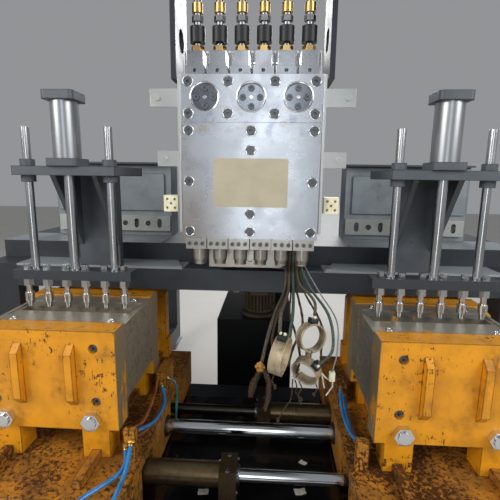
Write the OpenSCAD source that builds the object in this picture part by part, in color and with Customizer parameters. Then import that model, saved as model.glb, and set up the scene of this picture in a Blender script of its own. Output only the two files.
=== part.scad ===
// Double-station blow moulding machine with a six-cavity extrusion head.
// +X is the operator's right, +Y the back and +Z up; the origin lies on the floor under the middle.

/* [Floor frame] */
// Overall width across the posts
frame_w = 1600; // [1560:10:1700]
// Length of the floor sills
sill_l = 2600; // [2520:10:2800]
// Width of the posts and the sills
post_w = 100; // [80:5:104]
// Height of the floor sills
sill_h = 120; // [80:5:160]
// Height of the levelling feet
foot_h = 60; // [45:5:90]
// Radius of the anchor holes in the foot plates
anchor_r = 9; // [6:0.5:12]
// Top of the closed bed housing that carries the shift rods
bed_top = 617; // [580:1:620]
// Thickness of the bed cover sheet
sheet_t = 3; // [1.5:0.5:4]
// Depth of the front lip of the bed cover sheet
sheet_lip = 90; // [40:5:140]

/* [Upper frame] */
// Top of the machine deck that carries the extruder
deck_top = 1186; // [1180:1:1200]
// Thickness of the deck
deck_t = 66; // [56:1:72]
// Depth and height of the front crossbeam
crossbeam = [100, 68]; // [60:1:110]
// Setback of the crossbeam's front face behind the head's front face
beam_setback = 200; // [196:1:215]
// Setback of the side panels behind the head's front face
panel_setback = 456; // [420:1:520]
// Height of the side panels above the deck
panel_h = 250; // [200:5:300]
// Half of the clear width between the side panels
panel_inner = 296; // [260:2:340]
// Pitch of the slots in the light-metal bars
slot_pitch = 40; // [34:1:48]

/* [Die head] */
// Number of parisons, one under the other blow pins
cavities = 6; // [4:1:6]
// Pitch from parison to parison
pitch = 50; // [46:1:52]
// Width of the head
head_w = 310; // [306:1:330]
// Depth of the head
head_d = 190; // [160:1:192]
// Height of the lower face plate
lower_h = 260.5; // [240:0.5:280]
// Height of the upper face plate
upper_h = 100.5; // [96:0.5:110]
// Thickness of the two face plates
face_t = 20; // [16:1:26]
// Setback of the die row behind the head's front face
die_setback = 50; // [48:1:60]
// Height of the head's lower edge above the floor
head_z = 1250; // [1240:1:1270]
// Radius of the mandrel rods
mandrel_r = 8; // [6:0.5:9]
// Travel of the mandrels for the wall thickness control
mandrel_stroke = 10; // [4:1:12]
// Outer radius of the round port plugs
plug_r = 32; // [28:0.5:33]
// Radius of a socket screw's head in the face plates
screw_head_r = 9; // [7:0.25:9.5]

/* [Carriages] */
// Clearance between a parked carriage and its rod bracket
park_gap = 3; // [1:1:12]
// Width of a mould
mould_w = 320; // [304:1:330]
// Thickness of a mould half
mould_t = 105; // [90:1:110]
// Height of a mould
mould_h = 185; // [160:1:188]
// Thickness of the platens
platen_t = 58; // [45:1:60]
// Height of the platens
platen_h = 237; // [220:1:240]
// Opening travel of each platen
clamp_stroke = 90; // [60:1:95]
// Radius of the tie bars
tie_r = 14; // [10:0.5:15]
// Half width of the carriage frame
saddle_half = 207; // [196:1:210]
// Width of the carriage frame's side rails
saddle_rail = 45; // [35:1:50]
// Thickness of the carriage table
table_t = 30; // [24:1:32]

/* [Shift drive] */
// Height of the guide rods above the floor
rod_z = 685; // [680:1:690]
// Radius of the guide rods
guide_r = 20; // [16:0.5:21]
// Outer radius of the shift cylinders
tube_r = 29; // [24:0.5:29.5]
// Radius of the shift cylinders' rods
shift_rod_r = 15; // [12:0.5:16]

/* [Blowing] */
// Radius of a blow pin's tip
pin_r = 7; // [5:0.5:7.5]
// Travel of the blow pins
blow_stroke = 60; // [40:1:60]
// Outer radius of a bottle
bottle_r = 19; // [14:0.5:20]
// Radius of a bottle's neck in the mould
neck_r = 11; // [9:0.25:12]

/* [Extruder] */
// Height of the barrel's axis above the head's lower edge
barrel_rise = 180; // [160:2:210]
// Outer radius of the barrel
barrel_r = 45; // [40:1:48]
// Radius of the screw
screw_r = 30; // [25:0.5:34]
// Length of the barrel
barrel_l = 1310; // [1200:10:1330]
// Number of barrel heaters
heater_count = 6; // [3:1:7]
// Top radius of the hopper
hopper_r = 210; // [150:5:230]

/* [Hidden] */
$fn = 48;

// Fits and gaps
run = 0.05;
seat = 0.3;

// Places along Y, from the head's front face
head_y = -sill_l / 2 + 350;
part_y = head_y + die_setback;
beam_y = head_y + beam_setback;
deck_y = beam_y + crossbeam[0];
panel_y = head_y + panel_setback;
back_y = sill_l / 2;
inner_x = frame_w / 2 - post_w;
sill_top = foot_h + sill_h;
sill_x = frame_w / 2 - post_w / 2;
beam_top = deck_top - 53;
beam_cover_t = 6;
sheet_top = bed_top + sheet_t;

// Carriage levels, from the floor
saddle_top = rod_z + 65;
table_under = saddle_top - table_t;
saddle_under = sheet_top + 10;
way_h = 20;
way_x = 105;
way_w = 20;
platen_z = saddle_top + 70;
mould_z = platen_z + 47;
mould_top = mould_z + mould_h;
platen_top = platen_z + platen_h;
trough_d = 42;
tie_low_z = platen_z + 26;
tie_high_z = platen_top - 37;
tie_low_x = 100;
tie_high_x = -mould_w / 2 - 24;
tie_places = [[-tie_low_x, tie_low_z], [tie_low_x, tie_low_z], [tie_high_x, tie_high_z]];
clamp_z = platen_z + 120;
clamp_rod_r = 20;
clamp_tube_r = 46;
clamp_bore_r = 38;
crosshead_gap = 2 * clamp_stroke + 15;
crosshead_t = 45;
crosshead_y = mould_t + platen_t + crosshead_gap;
piston_t = 20;
clamp_tube_l = 2 * clamp_stroke + piston_t + 17;

// Shift drive, along Y from the head's front face
guide_ys = [-200, 110];
right_tube_y = -68;
left_tube_y = 200;
tube_wall = 5;
gland_w = 72;
notch_w = 84;
bracket_t = 35;
bracket_x = inner_x - 10 - bracket_t;
station_x = bracket_x - park_gap - saddle_half;
tube_start = 20;
tube_end = tube_start + station_x + 100;

// Blow units
pin_gap = 4;
pin_collar_r = 11;
pin_bar_z = mould_top + 80;
pin_bar_t = 24;
guide_x = 102;
stand_z = head_z + 140;
stand_t = 22;
blow_rod_r = 10;

// Repeated places
die_xs = [for (i = [0 : cavities - 1]) (i - (cavities - 1) / 2) * pitch];
head_h = lower_h + upper_h;
plug_inset = 52.6;
plug_x = head_w / 2 - plug_inset;
plug_xs = [-plug_x, 0, plug_x];
screw_inset = 15.5;
screw_x = head_w / 2 - screw_inset;
plug_z = lower_h + 53;
upper_screws = [for (x = [-screw_x, -plug_x / 2, plug_x / 2, screw_x], z = [18, 85]) [x, lower_h + z]];
lower_screws = concat(
    [for (x = [-screw_x, screw_x], z = [17, 130.8, lower_h - 18]) [x, z]],
    [for (z = [17, 58, lower_h - 60, lower_h - 18]) [0, z]]
);
barrel_z = head_z + barrel_rise;
barrel_y = head_y + head_d;
barrel_end = barrel_y + barrel_l;
slot_xs = [for (x = [panel_inner + 41 : slot_pitch : inner_x - 14]) x];

// Round-cornered outline, centred
module rounded(w, h, r) {
    square([w - 2 * r, h], center = true);
    square([w, h - 2 * r], center = true);
    for (x = [-1, 1], y = [-1, 1])
        translate([x * (w / 2 - r), y * (h / 2 - r)]) circle(r = r);
}

// A box between two corners
module block(low, high) {
    translate(low) cube(high - low);
}

// A rod or bore along +X, +Y or -Z from a start point
module along_x(start, length, r) {
    translate(start) rotate([0, 90, 0]) cylinder(r = r, h = length);
}

module along_y(start, length, r) {
    translate(start) rotate([-90, 0, 0]) cylinder(r = r, h = length);
}

// An outline drawn in X and Z, made thick towards +Y
module facing(y, t) {
    translate([0, y + t, 0]) rotate([90, 0, 0]) linear_extrude(t) children();
}

// An outline drawn in Y and Z, made thick towards +X
module sideways(x, t) {
    translate([x, 0, 0]) rotate([90, 0, 90]) linear_extrude(t) children();
}

module at_head() {
    translate([0, head_y, head_z]) children();
}

// Carriage frame of reference: +x points to the machine's middle, y = 0 is the parting plane
module at_station(side) {
    translate([side * station_x, part_y, 0])
        if (side > 0) mirror([1, 0, 0]) children();
        else children();
}

module both_sides() {
    children();
    mirror([1, 0, 0]) children();
}

module hex(r, h) {
    cylinder(r = r, h = h, $fn = 6);
}

// Head of a socket head cap screw along +Y, its face at y = 0
module cap_head(head_r, head_h) {
    difference() {
        along_y([0, 0, 0], head_h, head_r);
        translate([0, -1, 0]) rotate([-90, 0, 0]) hex(head_r * 0.5, head_h * 0.6 + 1);
    }
}

module cap_screw(head_r, head_h, shank_r, shank_l) {
    cap_head(head_r, head_h);
    along_y([0, head_h - 1, 0], shank_l + 1, shank_r);
}

// Floor frame

module floor_sills() color("#26292e")
    both_sides()
        difference() {
            block([inner_x, -sill_l / 2, foot_h], [inner_x + post_w, sill_l / 2, sill_top]);
            for (y = [-1, 1])
                translate([sill_x, y * sill_l / 4, foot_h + 40])
                    cube([post_w + 2, 180, 50], center = true);
        }

plate_t = 15;
plate_out = 70;
foot_in = 70;
stem_r = 16;
nut_r = 30;
nut_h = 16;

module levelling_feet() color("#8a8d90")
    both_sides() {
        for (end = [-1, 1])
            difference() {
                union() {
                    translate([inner_x, end > 0 ? sill_l / 2 - 150 : -sill_l / 2 - plate_out, 0])
                        cube([post_w, 150 + plate_out, plate_t]);
                    translate([sill_x, end * (sill_l / 2 - foot_in), 0]) cylinder(r = stem_r, h = foot_h);
                    translate([sill_x, end * (sill_l / 2 - foot_in), plate_t]) hex(nut_r, nut_h);
                }
                translate([sill_x, end * (sill_l / 2 + plate_out / 2), -1])
                    cylinder(r = anchor_r, h = plate_t + 2);
            }
        translate([sill_x, 0, 0]) cylinder(r = 45, h = plate_t);
        translate([sill_x, 0, 0]) cylinder(r = stem_r, h = foot_h);
        translate([sill_x, 0, plate_t]) hex(nut_r, nut_h);
    }

bed_front = head_y - 258;
bed_back = head_y + 470;

module bed_housing() color("#2b2f36")
    difference() {
        block([-inner_x, bed_front, foot_h], [inner_x, bed_back, bed_top]);
        // recessed kick space and two closed door panels in front
        block([-inner_x - 1, bed_front - 1, foot_h - 1], [inner_x + 1, bed_front + 40, foot_h + 70]);
        both_sides()
            facing(bed_front - 1, 5)
                translate([inner_x / 2, (foot_h + bed_top) / 2 + 20]) rounded(inner_x - 90, 330, 18);
    }

// One folded sheet over the top of the bed and down its front edge
module cover_sheet() color("#17191c")
    sideways(-bracket_x + 12, 2 * bracket_x - 24)
        difference() {
            union() {
                translate([bed_front, bed_top]) square([bed_back - bed_front - 90, sheet_t]);
                translate([bed_front, bed_top]) circle(r = sheet_t);
                translate([bed_front - sheet_t, bed_top - sheet_lip]) square([sheet_t, sheet_lip]);
            }
            translate([bed_front, bed_top - 20]) square([20, 20]);
        }

module end_brackets() color("#3a3d42")
    both_sides()
        sideways(bracket_x, bracket_t)
            translate([head_y, 0])
                difference() {
                    polygon([
                        [guide_ys[0] - 50, bed_top], [guide_ys[1] + 60, bed_top],
                        [guide_ys[1] + 60, rod_z], [guide_ys[1] + 35, rod_z + 40],
                        [guide_ys[1] - 35, rod_z + 40], [guide_ys[1] - 75, rod_z - 20],
                        [guide_ys[0] + 75, rod_z - 20], [guide_ys[0] + 35, rod_z + 40],
                        [guide_ys[0] - 35, rod_z + 40], [guide_ys[0] - 50, rod_z]
                    ]);
                    for (y = guide_ys) translate([y, rod_z]) circle(r = guide_r + run);
                }

module guide_rods() color("#c9ccd0")
    for (y = guide_ys)
        along_x([-bracket_x - bracket_t, head_y + y, rod_z], 2 * (bracket_x + bracket_t), guide_r);

// Hollow cylinder with a square gland block and a closed end cap, both on pedestals
module shift_cylinder(y) {
    block_low = [0, -gland_w / 2, sheet_top];
    translate([0, head_y + y, 0]) {
        difference() {
            union() {
                along_x([tube_start + 30, 0, rod_z], tube_end - tube_start - 40, tube_r);
                translate([tube_start, 0, 0])
                    block(block_low, [40, gland_w / 2, rod_z + tube_r + 3]);
                translate([tube_end - 30, 0, 0])
                    block(block_low, [30, gland_w / 2, rod_z + tube_r + 3]);
            }
            along_x([tube_start + 25, 0, rod_z], tube_end - tube_start - 45, tube_r - tube_wall);
            along_x([tube_start - 1, 0, rod_z], 40, shift_rod_r + run);
        }
    }
}

module shift_cylinders() color("#5a5047") {
    mirror([1, 0, 0]) shift_cylinder(right_tube_y);
    shift_cylinder(left_tube_y);
}

// Upper frame

module posts() color("#2b2f36")
    both_sides() {
        block([inner_x, beam_y, sill_top], [inner_x + post_w, deck_y, beam_top]);
        for (y = [150, back_y - post_w])
            difference() {
                union() {
                    block([inner_x, y, sill_top], [inner_x + post_w, y + post_w, deck_top - deck_t]);
                    block([inner_x, y - 30, sill_top], [inner_x + post_w, y + post_w, sill_top + 12]);
                }
                translate([sill_x, y - 15, sill_top - 1]) cylinder(r = 7, h = 20);
            }
    }

module crossbeam() color("#2f343c") {
    block([-inner_x, beam_y, beam_top - crossbeam[1]], [inner_x, deck_y, beam_top - beam_cover_t]);
    // top cover plates with slanted inner ends
    both_sides()
        translate([0, 0, beam_top - beam_cover_t]) linear_extrude(beam_cover_t)
            polygon([[205, beam_y], [inner_x, beam_y], [inner_x, deck_y], [240, deck_y]]);
}

// Deck plate on a grid of ribs
module deck() color("#33373d") {
    pocket = 170;
    bay_x = [for (i = [-3 : 3]) i * 215];
    bay_y = [for (i = [0 : 8]) deck_y + 125 + i * 212];
    difference() {
        block([-frame_w / 2, deck_y, deck_top - deck_t], [frame_w / 2, back_y, deck_top]);
        for (x = bay_x, y = bay_y)
            if (abs(x) < 600 || abs(y - 200) > 160 && y < back_y - 190)
                translate([x, y, deck_top - deck_t]) cube([pocket, pocket, 2 * deck_t - 20], center = true);
    }
}

arm_in = 62;
arm_t = 34;

// The two arms that carry the head and the two stands that carry the barrel
module deck_brackets() color("#33373d") {
    both_sides()
        sideways(arm_in, arm_t)
            polygon([
                [barrel_y, beam_top + 4], [deck_y, beam_top + 4], [deck_y, deck_top],
                [deck_y + 160, deck_top], [deck_y + 160, deck_top + 40],
                [barrel_y + 60, head_z + 150], [barrel_y, head_z + 150]
            ]);
    for (i = [2, heater_count - 1], y = [band_start + i * band_span - (band_gap + stand_w) / 2])
        difference() {
            facing(y, stand_w)
                polygon([
                    [-130, deck_top], [130, deck_top], [130, deck_top + 20], [70, barrel_z - 20],
                    [70, barrel_z], [-70, barrel_z], [-70, barrel_z - 20], [-130, deck_top + 20]
                ]);
            along_y([0, y - 1, barrel_z], stand_w + 2, barrel_r + seat);
        }
}

ledge_w = 30;
panel_t = 6;

module side_panels() color("#8f9396")
    both_sides() {
        block([panel_inner, panel_y, deck_top], [inner_x, panel_y + panel_t, deck_top + panel_h]);
        block([panel_inner, panel_y - ledge_w, deck_top + panel_h - panel_t],
              [inner_x, panel_y + panel_t, deck_top + panel_h]);
        block([panel_inner, panel_y, deck_top], [panel_inner + panel_t, panel_y + 90, deck_top + panel_h]);
        facing(panel_y - 6, 7)
            translate([(panel_inner + inner_x) / 2 + 8, deck_top + 150])
                rounded(inner_x - panel_inner - 30, 126, 4);
    }

bar_z = deck_top + 17;
bar_h = 53;
bar_t = 12;

module slotted_bars() color("#b9bdc2")
    both_sides()
        facing(panel_y - bar_t, bar_t)
            difference() {
                translate([panel_inner + 4, bar_z]) square([inner_x - panel_inner - 14, bar_h]);
                for (i = [0 : len(slot_xs) - 1])
                    translate([slot_xs[i], bar_z + bar_h / 2])
                        if (i % 2 == 0) rounded(15, 32, 7.4);
                        else circle(r = 9);
            }

// Die head

module head_body() color("#9a9ea3")
    at_head() difference() {
        block([-head_w / 2, face_t, 0], [head_w / 2, head_d, head_h]);
        for (x = die_xs)
            translate([x, die_setback, -1]) cylinder(r = mandrel_r + run, h = head_h + 2);
        // melt inlet from the barrel
        along_y([0, head_d - 60, barrel_rise], 61, screw_r);
        both_sides()
            for (z = [60, 300])
                along_x([head_w / 2 - 20, head_d - 30, z], 21, 5);
    }

module plate_holes(places) {
    for (p = places) {
        along_y([p[0], -1, p[1]], 11, screw_head_r + 1);
        along_y([p[0], -1, p[1]], face_t + 2, 6.3);
    }
}

// Lower and upper face plate, with a fine gap between them
module face_plates() color("#c3c6ca")
    at_head() {
        difference() {
            block([-head_w / 2, 0, 0], [head_w / 2, face_t, lower_h - seat]);
            plate_holes(lower_screws);
        }
        difference() {
            block([-head_w / 2, 0, lower_h], [head_w / 2, face_t, head_h]);
            plate_holes(upper_screws);
            for (x = plug_xs) along_y([x, -1, plug_z], face_t + 2, plug_r + run);
        }
    }

plug_sink = 4;

module port_plugs() color("#b4b7bb")
    at_head() for (x = plug_xs)
        difference() {
            union() {
                along_y([x, plug_sink, plug_z], face_t - plug_sink, plug_r);
                along_y([x, plug_sink - 2.5, plug_z], 4, plug_r - 0.5);
            }
            along_y([x, plug_sink - 4, plug_z], 4, plug_r - 3);
            for (a = [0 : 90 : 270])
                along_y([x + 19 * cos(a), plug_sink - 5, plug_z + 19 * sin(a)], 10, 7.2);
        }

die_screw_zs = -12;

// All socket head screws that show: slotted bars, face plates, port plugs and dies
module socket_screws() color("#74777c") {
    both_sides()
        for (i = [0 : len(slot_xs) - 1])
            translate([slot_xs[i], panel_y - bar_t + 2, bar_z + bar_h / 2])
                cap_screw(6.5, 6, 4, bar_t - 8);
    at_head() {
        for (p = concat(upper_screws, lower_screws))
            translate([p[0], 1, p[1]]) cap_screw(screw_head_r, 9, 6, face_t - 10);
        for (x = plug_xs, a = [0 : 90 : 270])
            translate([x + 19 * cos(a), plug_sink - 2, plug_z + 19 * sin(a)])
                cap_head(6.5, 7);
        for (x = die_xs, dx = [-15, 0, 15])
            translate([x + dx, -6, die_screw_zs]) cap_head(4.5, 6);
        for (x = die_xs, dx = [-1, 1])
            translate([x + dx * 20.5, die_setback, -clamp_h - 5]) cylinder(r = 3.2, h = 5);
    }
}

plate_w = 168;
plate_h = 109;

module nameplate() color("#c9bfa6")
    at_head() {
        translate([1, 0, 74 + plate_h / 2]) facing(-1, 1) rounded(plate_w, plate_h, 3);
        for (x = [-1, 1], z = [-1, 1])
            along_y([1 + x * (plate_w / 2 - 4), -2, 74 + plate_h / 2 + z * (plate_h / 2 - 4)], 1, 2);
    }

cover_x = head_w / 2 + 2;

// Folded tab: one leaf on the side cover, one leaf facing forward with a screw
module tab(z, reach, height) {
    translate([cover_x, 16, z]) {
        cube([3, 60, height]);
        difference() {
            cube([reach, 4, height]);
            along_y([reach - 16, -1, height / 2], 6, 4.2);
        }
        translate([reach - 16, -4, height / 2]) {
            along_y([0, 0, 0], 4, 6.5);
            along_y([0, 0, 0], 10, 4);
        }
    }
}

terminal_z = 79;
terminal_gap = 12;

// Folded side covers, a flat leaf with a lip bent outwards, and the tabs screwed on them
module side_covers() color("#cfd2d5")
    at_head() both_sides() {
        translate([0, 0, 14]) linear_extrude(head_h - 14) {
            translate([head_w / 2, 6]) square([2, head_d - 26]);
            difference() {
                translate([head_w / 2 + 4, 6]) circle(r = 4);
                translate([head_w / 2 + 4, 6]) circle(r = 2);
                translate([head_w / 2 - 1, 6]) square([12, 8]);
                translate([head_w / 2 + 4, 0]) square([6, 12]);
            }
            translate([head_w / 2 + 4, 2]) square([4, 2]);
        }
        tab(295, 72, 39);
        tab(164, 58, 35);
        translate([cover_x, 40, terminal_z - 8]) cube([terminal_gap + 4, 3, 16]);
        translate([cover_x, 40, terminal_z - 8]) cube([3, 30, 16]);
    }

module terminal_blocks() color("#e8e4c9")
    at_head() both_sides()
        translate([cover_x + terminal_gap, 14, terminal_z - 19])
            difference() {
                cube([34, 26, 38]);
                for (p = [[8, 9], [26, 9], [17, 19], [8, 29], [26, 29]])
                    along_y([p[0], -1, p[1]], 14, 3);
                translate([-1, 20, 14]) cube([36, 7, 10]);
            }

guide_foot = 18;
guide_top = 51;
guide_w = 36;

// Stepped mandrel guide blocks on top of the head, with bright studs between them
module guide_blocks() color("#a7abb0")
    at_head() translate([0, 0, head_h]) {
        for (x = die_xs)
            difference() {
                union() {
                    block([x - 22, 6, 0], [x + 22, 90, guide_foot]);
                    block([x - guide_w / 2, 12, guide_foot], [x + guide_w / 2, 84, guide_top]);
                }
                along_y([x, 5, guide_foot / 2], 20, 4);
                translate([x, die_setback, -1]) cylinder(r = mandrel_r + run, h = guide_top + 2);
            }
        for (i = [0 : cavities])
            translate([(i - cavities / 2) * pitch, 26, 0]) cylinder(r = 2.6, h = guide_top + 2);
    }

clamp_h = 25;

module die_clamps() color("#b7babe")
    at_head() for (x = die_xs)
        difference() {
            block([x - 24, 0, -clamp_h], [x + 24, 100, 0]);
            translate([x, die_setback, -clamp_h - 1]) cylinder(r = 13 + run, h = clamp_h + 2);
        }

nozzle_h = 70;

module die_nozzles() color("#d3d6d9")
    at_head() for (x = die_xs)
        translate([x, die_setback, 0])
            rotate_extrude()
                polygon([
                    [10, 0], [13, 0], [13, -clamp_h], [17, -clamp_h], [17, -nozzle_h + 14],
                    [14, -nozzle_h + 4], [14, -nozzle_h], [10.5, -nozzle_h],
                    [10.5, -nozzle_h + 8], [10, -nozzle_h + 12]
                ]);

// Hanging plate behind the dies with a round flange
module bottom_flange() color("#8d9195")
    at_head() {
        difference() {
            facing(118, 14)
                difference() {
                    translate([-113, -94]) square([199, 94]);
                    translate([86 - 16, -94]) square([17, 16]);
                }
            along_y([-95, 117, -70], 16, 4);
        }
        along_y([70, 118, -78], 14, 16);
        // outlet of the heater leads
        block([86, 104, -22], [136, 118, 0]);
        translate([-4, 106, -68])
            difference() {
                along_y([0, 0, 0], 12, 23);
                along_y([0, -1, 0], 8, 9);
                for (a = [45 : 90 : 315]) along_y([16 * cos(a), -1, 16 * sin(a)], 6, 2.6);
            }
    }

nut_z = head_h + guide_top + 3;
yoke_z = head_h + 179;
yoke_h = 34;

// Six mandrel rods with nuts and couplings, moved together by the yoke
module mandrels() color("#6c6f74")
    at_head() for (x = die_xs)
        translate([x, die_setback, 0]) {
            translate([0, 0, -nozzle_h + 2]) cylinder(r = mandrel_r, h = yoke_z + nozzle_h - 2);
            translate([0, 0, nut_z]) hex(15, 15);
            translate([0, 0, nut_z + 22]) cylinder(r = 17, h = 34);
            translate([0, 0, nut_z + 66]) hex(13, 12);
            translate([0, 0, nut_z + 84]) cylinder(r = 12, h = 20);
        }

module mandrel_yoke() color("#4a4e54")
    at_head() {
        block([die_xs[0] - 28, die_setback - 30, yoke_z],
              [-die_xs[0] + 28, die_setback + 30, yoke_z + yoke_h]);
        for (x = die_xs)
            translate([x, die_setback, yoke_z + yoke_h]) hex(9.5, 9);
        translate([0, die_setback, yoke_z + yoke_h]) cylinder(r = 14, h = 40);
    }

servo_z = yoke_z + yoke_h + mandrel_stroke + 12;

// Servo cylinder on a frame of two side plates that stand on the head
module servo_cylinder() color("#555a60")
    at_head() {
        both_sides()
            difference() {
                block([head_w / 2 + 14, die_setback - 30, head_h - 6],
                      [head_w / 2 + 26, die_setback + 90, servo_z + 12]);
                along_x([head_w / 2 + 13, die_setback + 30, head_h + 90], 14, 26);
            }
        both_sides()
            block([head_w / 2 - 30, die_setback + 46, head_h],
                  [head_w / 2 + 26, die_setback + 90, head_h + 12]);
        difference() {
            union() {
                block([-head_w / 2 - 26, die_setback - 30, servo_z],
                      [head_w / 2 + 26, die_setback + 90, servo_z + 16]);
                translate([0, die_setback, servo_z + 16]) cylinder(r = 40, h = 130);
                translate([0, die_setback, servo_z + 146]) linear_extrude(24) rounded(96, 96, 12);
                translate([0, die_setback, servo_z + 16]) linear_extrude(20) rounded(96, 96, 12);
            }
            translate([0, die_setback, servo_z - 1]) cylinder(r = 14 + run, h = 60);
        }
    }

// Extruder

module extruder_barrel() color("#84888d")
    difference() {
        union() {
            along_y([0, barrel_y, barrel_z], barrel_l, barrel_r);
            along_y([0, barrel_y, barrel_z], 22, barrel_r + 12);
            along_y([0, barrel_end - 25, barrel_z], 25, barrel_r + 30);
            translate([0, barrel_end - 120, barrel_z + barrel_r / 2])
                linear_extrude(barrel_r / 2 + 30) rounded(110, 110, 10);
        }
        along_y([0, barrel_y - 1, barrel_z], barrel_l + 2, screw_r + run);
        translate([0, barrel_end - 120, barrel_z]) cylinder(r = 24, h = 120);
    }

band_start = barrel_y + 60;
band_span = (barrel_l - 330) / heater_count;
band_gap = 45;
band_l = band_span - band_gap;
stand_w = 30;

module barrel_heaters() color("#c9c3b2")
    for (i = [0 : heater_count - 1])
        translate([0, band_start + i * band_span, barrel_z])
            difference() {
                union() {
                    along_y([0, 0, 0], band_l, barrel_r + 9);
                    translate([0, band_l / 2, barrel_r + 12]) cube([40, 60, 30], center = true);
                }
                along_y([0, -1, 0], band_l + 2, barrel_r + seat);
            }

// Feed screw: tapered tip, root and the two full-width lands that run in the barrel
module extruder_screw() color("#b9bcc0") {
    along_y([0, barrel_y + 40, barrel_z], barrel_l + 10, screw_r - 7);
    along_y([0, barrel_y + 100, barrel_z], 30, screw_r);
    along_y([0, barrel_end - 60, barrel_z], 90, screw_r);
    translate([0, barrel_y + 12, barrel_z]) rotate([-90, 0, 0])
        cylinder(r1 = 4, r2 = screw_r - 7, h = 28.01);
}

gear_y = barrel_end;
gear_d = 270;
gear_h = barrel_z + 190 - deck_top;

module gearbox() color("#3f6f8f")
    difference() {
        union() {
            translate([0, gear_y + gear_d / 2, deck_top + 24]) linear_extrude(gear_h - 24)
                rounded(300, gear_d, 26);
            block([-190, gear_y, deck_top], [190, gear_y + gear_d, deck_top + 24]);
            for (x = [-1, 1], y = [60, gear_d - 80])
                block([x > 0 ? 140 : -180, gear_y + y, deck_top + 20],
                      [x > 0 ? 180 : -140, gear_y + y + 20, deck_top + 150]);
            along_y([0, gear_y + gear_d - 1, deck_top + 150], 31, 105);
        }
        along_y([0, gear_y - 1, barrel_z], 61, screw_r + 5);
        for (x = [-170, 170], y = [40, gear_d - 40])
            translate([x, gear_y + y, deck_top - 1]) cylinder(r = 9, h = 26);
    }

motor_y = gear_y + gear_d + 30;
motor_l = 370;
motor_r = 102;

module drive_motor() color("#3a6a8a")
    translate([0, motor_y, deck_top + 150]) {
        along_y([0, 0, 0], 20, motor_r + 12);
        along_y([0, 19, 0], motor_l - 80, motor_r - 10);
        for (i = [0 : 27])
            rotate([0, i * 360 / 28, 0])
                translate([-2, 19, motor_r - 14]) cube([4, motor_l - 88, 11]);
        along_y([0, motor_l - 70, 0], 70, motor_r);
        block([-55, 90, motor_r - 20], [55, 200, motor_r + 40]);
        both_sides() block([60, 60, -150], [110, 240, -60]);
    }

hopper_z = barrel_z + barrel_r + 30;
neck_bore = 24;
neck_h = 60;
cone_h = 300;
wall = 3;

// Spun hopper in three pieces: flanged neck, cone and straight rim with a flat edge
module hopper() color("#c8ccd0")
    translate([0, barrel_end - 120, hopper_z]) {
        rotate_extrude()
            polygon([
                [neck_bore, 0], [52, 0], [52, 14], [neck_bore + wall + 3, 14],
                [neck_bore + wall + 3, neck_h], [neck_bore, neck_h]
            ]);
        rotate_extrude()
            polygon([
                [neck_bore, neck_h + seat], [neck_bore + wall + 3, neck_h + seat],
                [hopper_r, cone_h], [hopper_r - wall, cone_h]
            ]);
        difference() {
            rotate_extrude()
                polygon([
                    [hopper_r - wall, cone_h + seat], [hopper_r, cone_h + seat],
                    [hopper_r, cone_h + 130], [hopper_r + 14, cone_h + 130],
                    [hopper_r + 14, cone_h + 136], [hopper_r - wall, cone_h + 136]
                ]);
            for (a = [45 : 90 : 315])
                rotate([0, 0, a]) translate([hopper_r + 6, 0, cone_h + 129]) cylinder(r = 2.75, h = 8);
        }
    }

// Blow units

stand_x = 60;
guide_span = 125;

module blow_stand() {
    beam_local = beam_y - part_y;
    front_local = -30;
    difference() {
        union() {
            block([-stand_x, beam_local, beam_top], [stand_x, beam_local + 22, stand_z]);
            block([-guide_span, front_local, stand_z], [guide_span, beam_local + 22, stand_z + stand_t]);
            for (x = [-stand_x, stand_x - 14])
                sideways(x, 14)
                    polygon([
                        [beam_local, beam_top + 60], [beam_local, stand_z], [front_local + 50, stand_z]
                    ]);
            translate([0, 0, stand_z + stand_t]) cylinder(r = 32, h = 150);
            translate([0, 0, stand_z + stand_t]) linear_extrude(18) rounded(76, 76, 10);
            translate([0, 0, stand_z + stand_t + 150]) linear_extrude(20) rounded(76, 76, 10);
            for (x = [-guide_x, guide_x])
                translate([x, 0, stand_z - 16]) cylinder(r = 17, h = stand_t + 32);
        }
        for (x = [-guide_x, guide_x])
            translate([x, 0, stand_z - 20]) cylinder(r = blow_rod_r + run, h = stand_t + 60);
        translate([0, 0, stand_z - 1]) cylinder(r = 12 + run, h = stand_t + 100);
    }
}

module blow_stands() color("#5e656d") {
    at_station(-1) blow_stand();
    at_station(1) blow_stand();
}

// Pin bar with its guide rods, the piston rod and one blow pin for each cavity
module blow_pins(side) color("#a4a8ad")
    at_station(side) {
        block([die_xs[0] - 25, -22, pin_bar_z], [-die_xs[0] + 25, 22, pin_bar_z + pin_bar_t]);
        for (x = [-guide_x, guide_x])
            translate([x, 0, pin_bar_z + pin_bar_t]) cylinder(r = blow_rod_r, h = stand_z - pin_bar_z + 90);
        translate([0, 0, pin_bar_z + pin_bar_t]) cylinder(r = 12, h = stand_z - pin_bar_z + 20);
        for (x = die_xs)
            translate([x, 0, 0]) {
                translate([0, 0, mould_top + pin_gap])
                    cylinder(r = pin_r, h = pin_bar_z - mould_top - pin_gap);
                translate([0, 0, mould_top + blow_stroke - trough_d + 1])
                    cylinder(r = pin_collar_r, h = 22);
                translate([0, 0, pin_bar_z - 20]) hex(13, 20);
                translate([0, 0, pin_bar_z + pin_bar_t]) hex(10, 12);
            }
    }

// Carriages

saddle_front = -290;
saddle_back = crosshead_y + crosshead_t + 12;

hose_x = saddle_half - 24;
manifold_y = 100;
riser_y = -150;
riser_h = 74;

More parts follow.
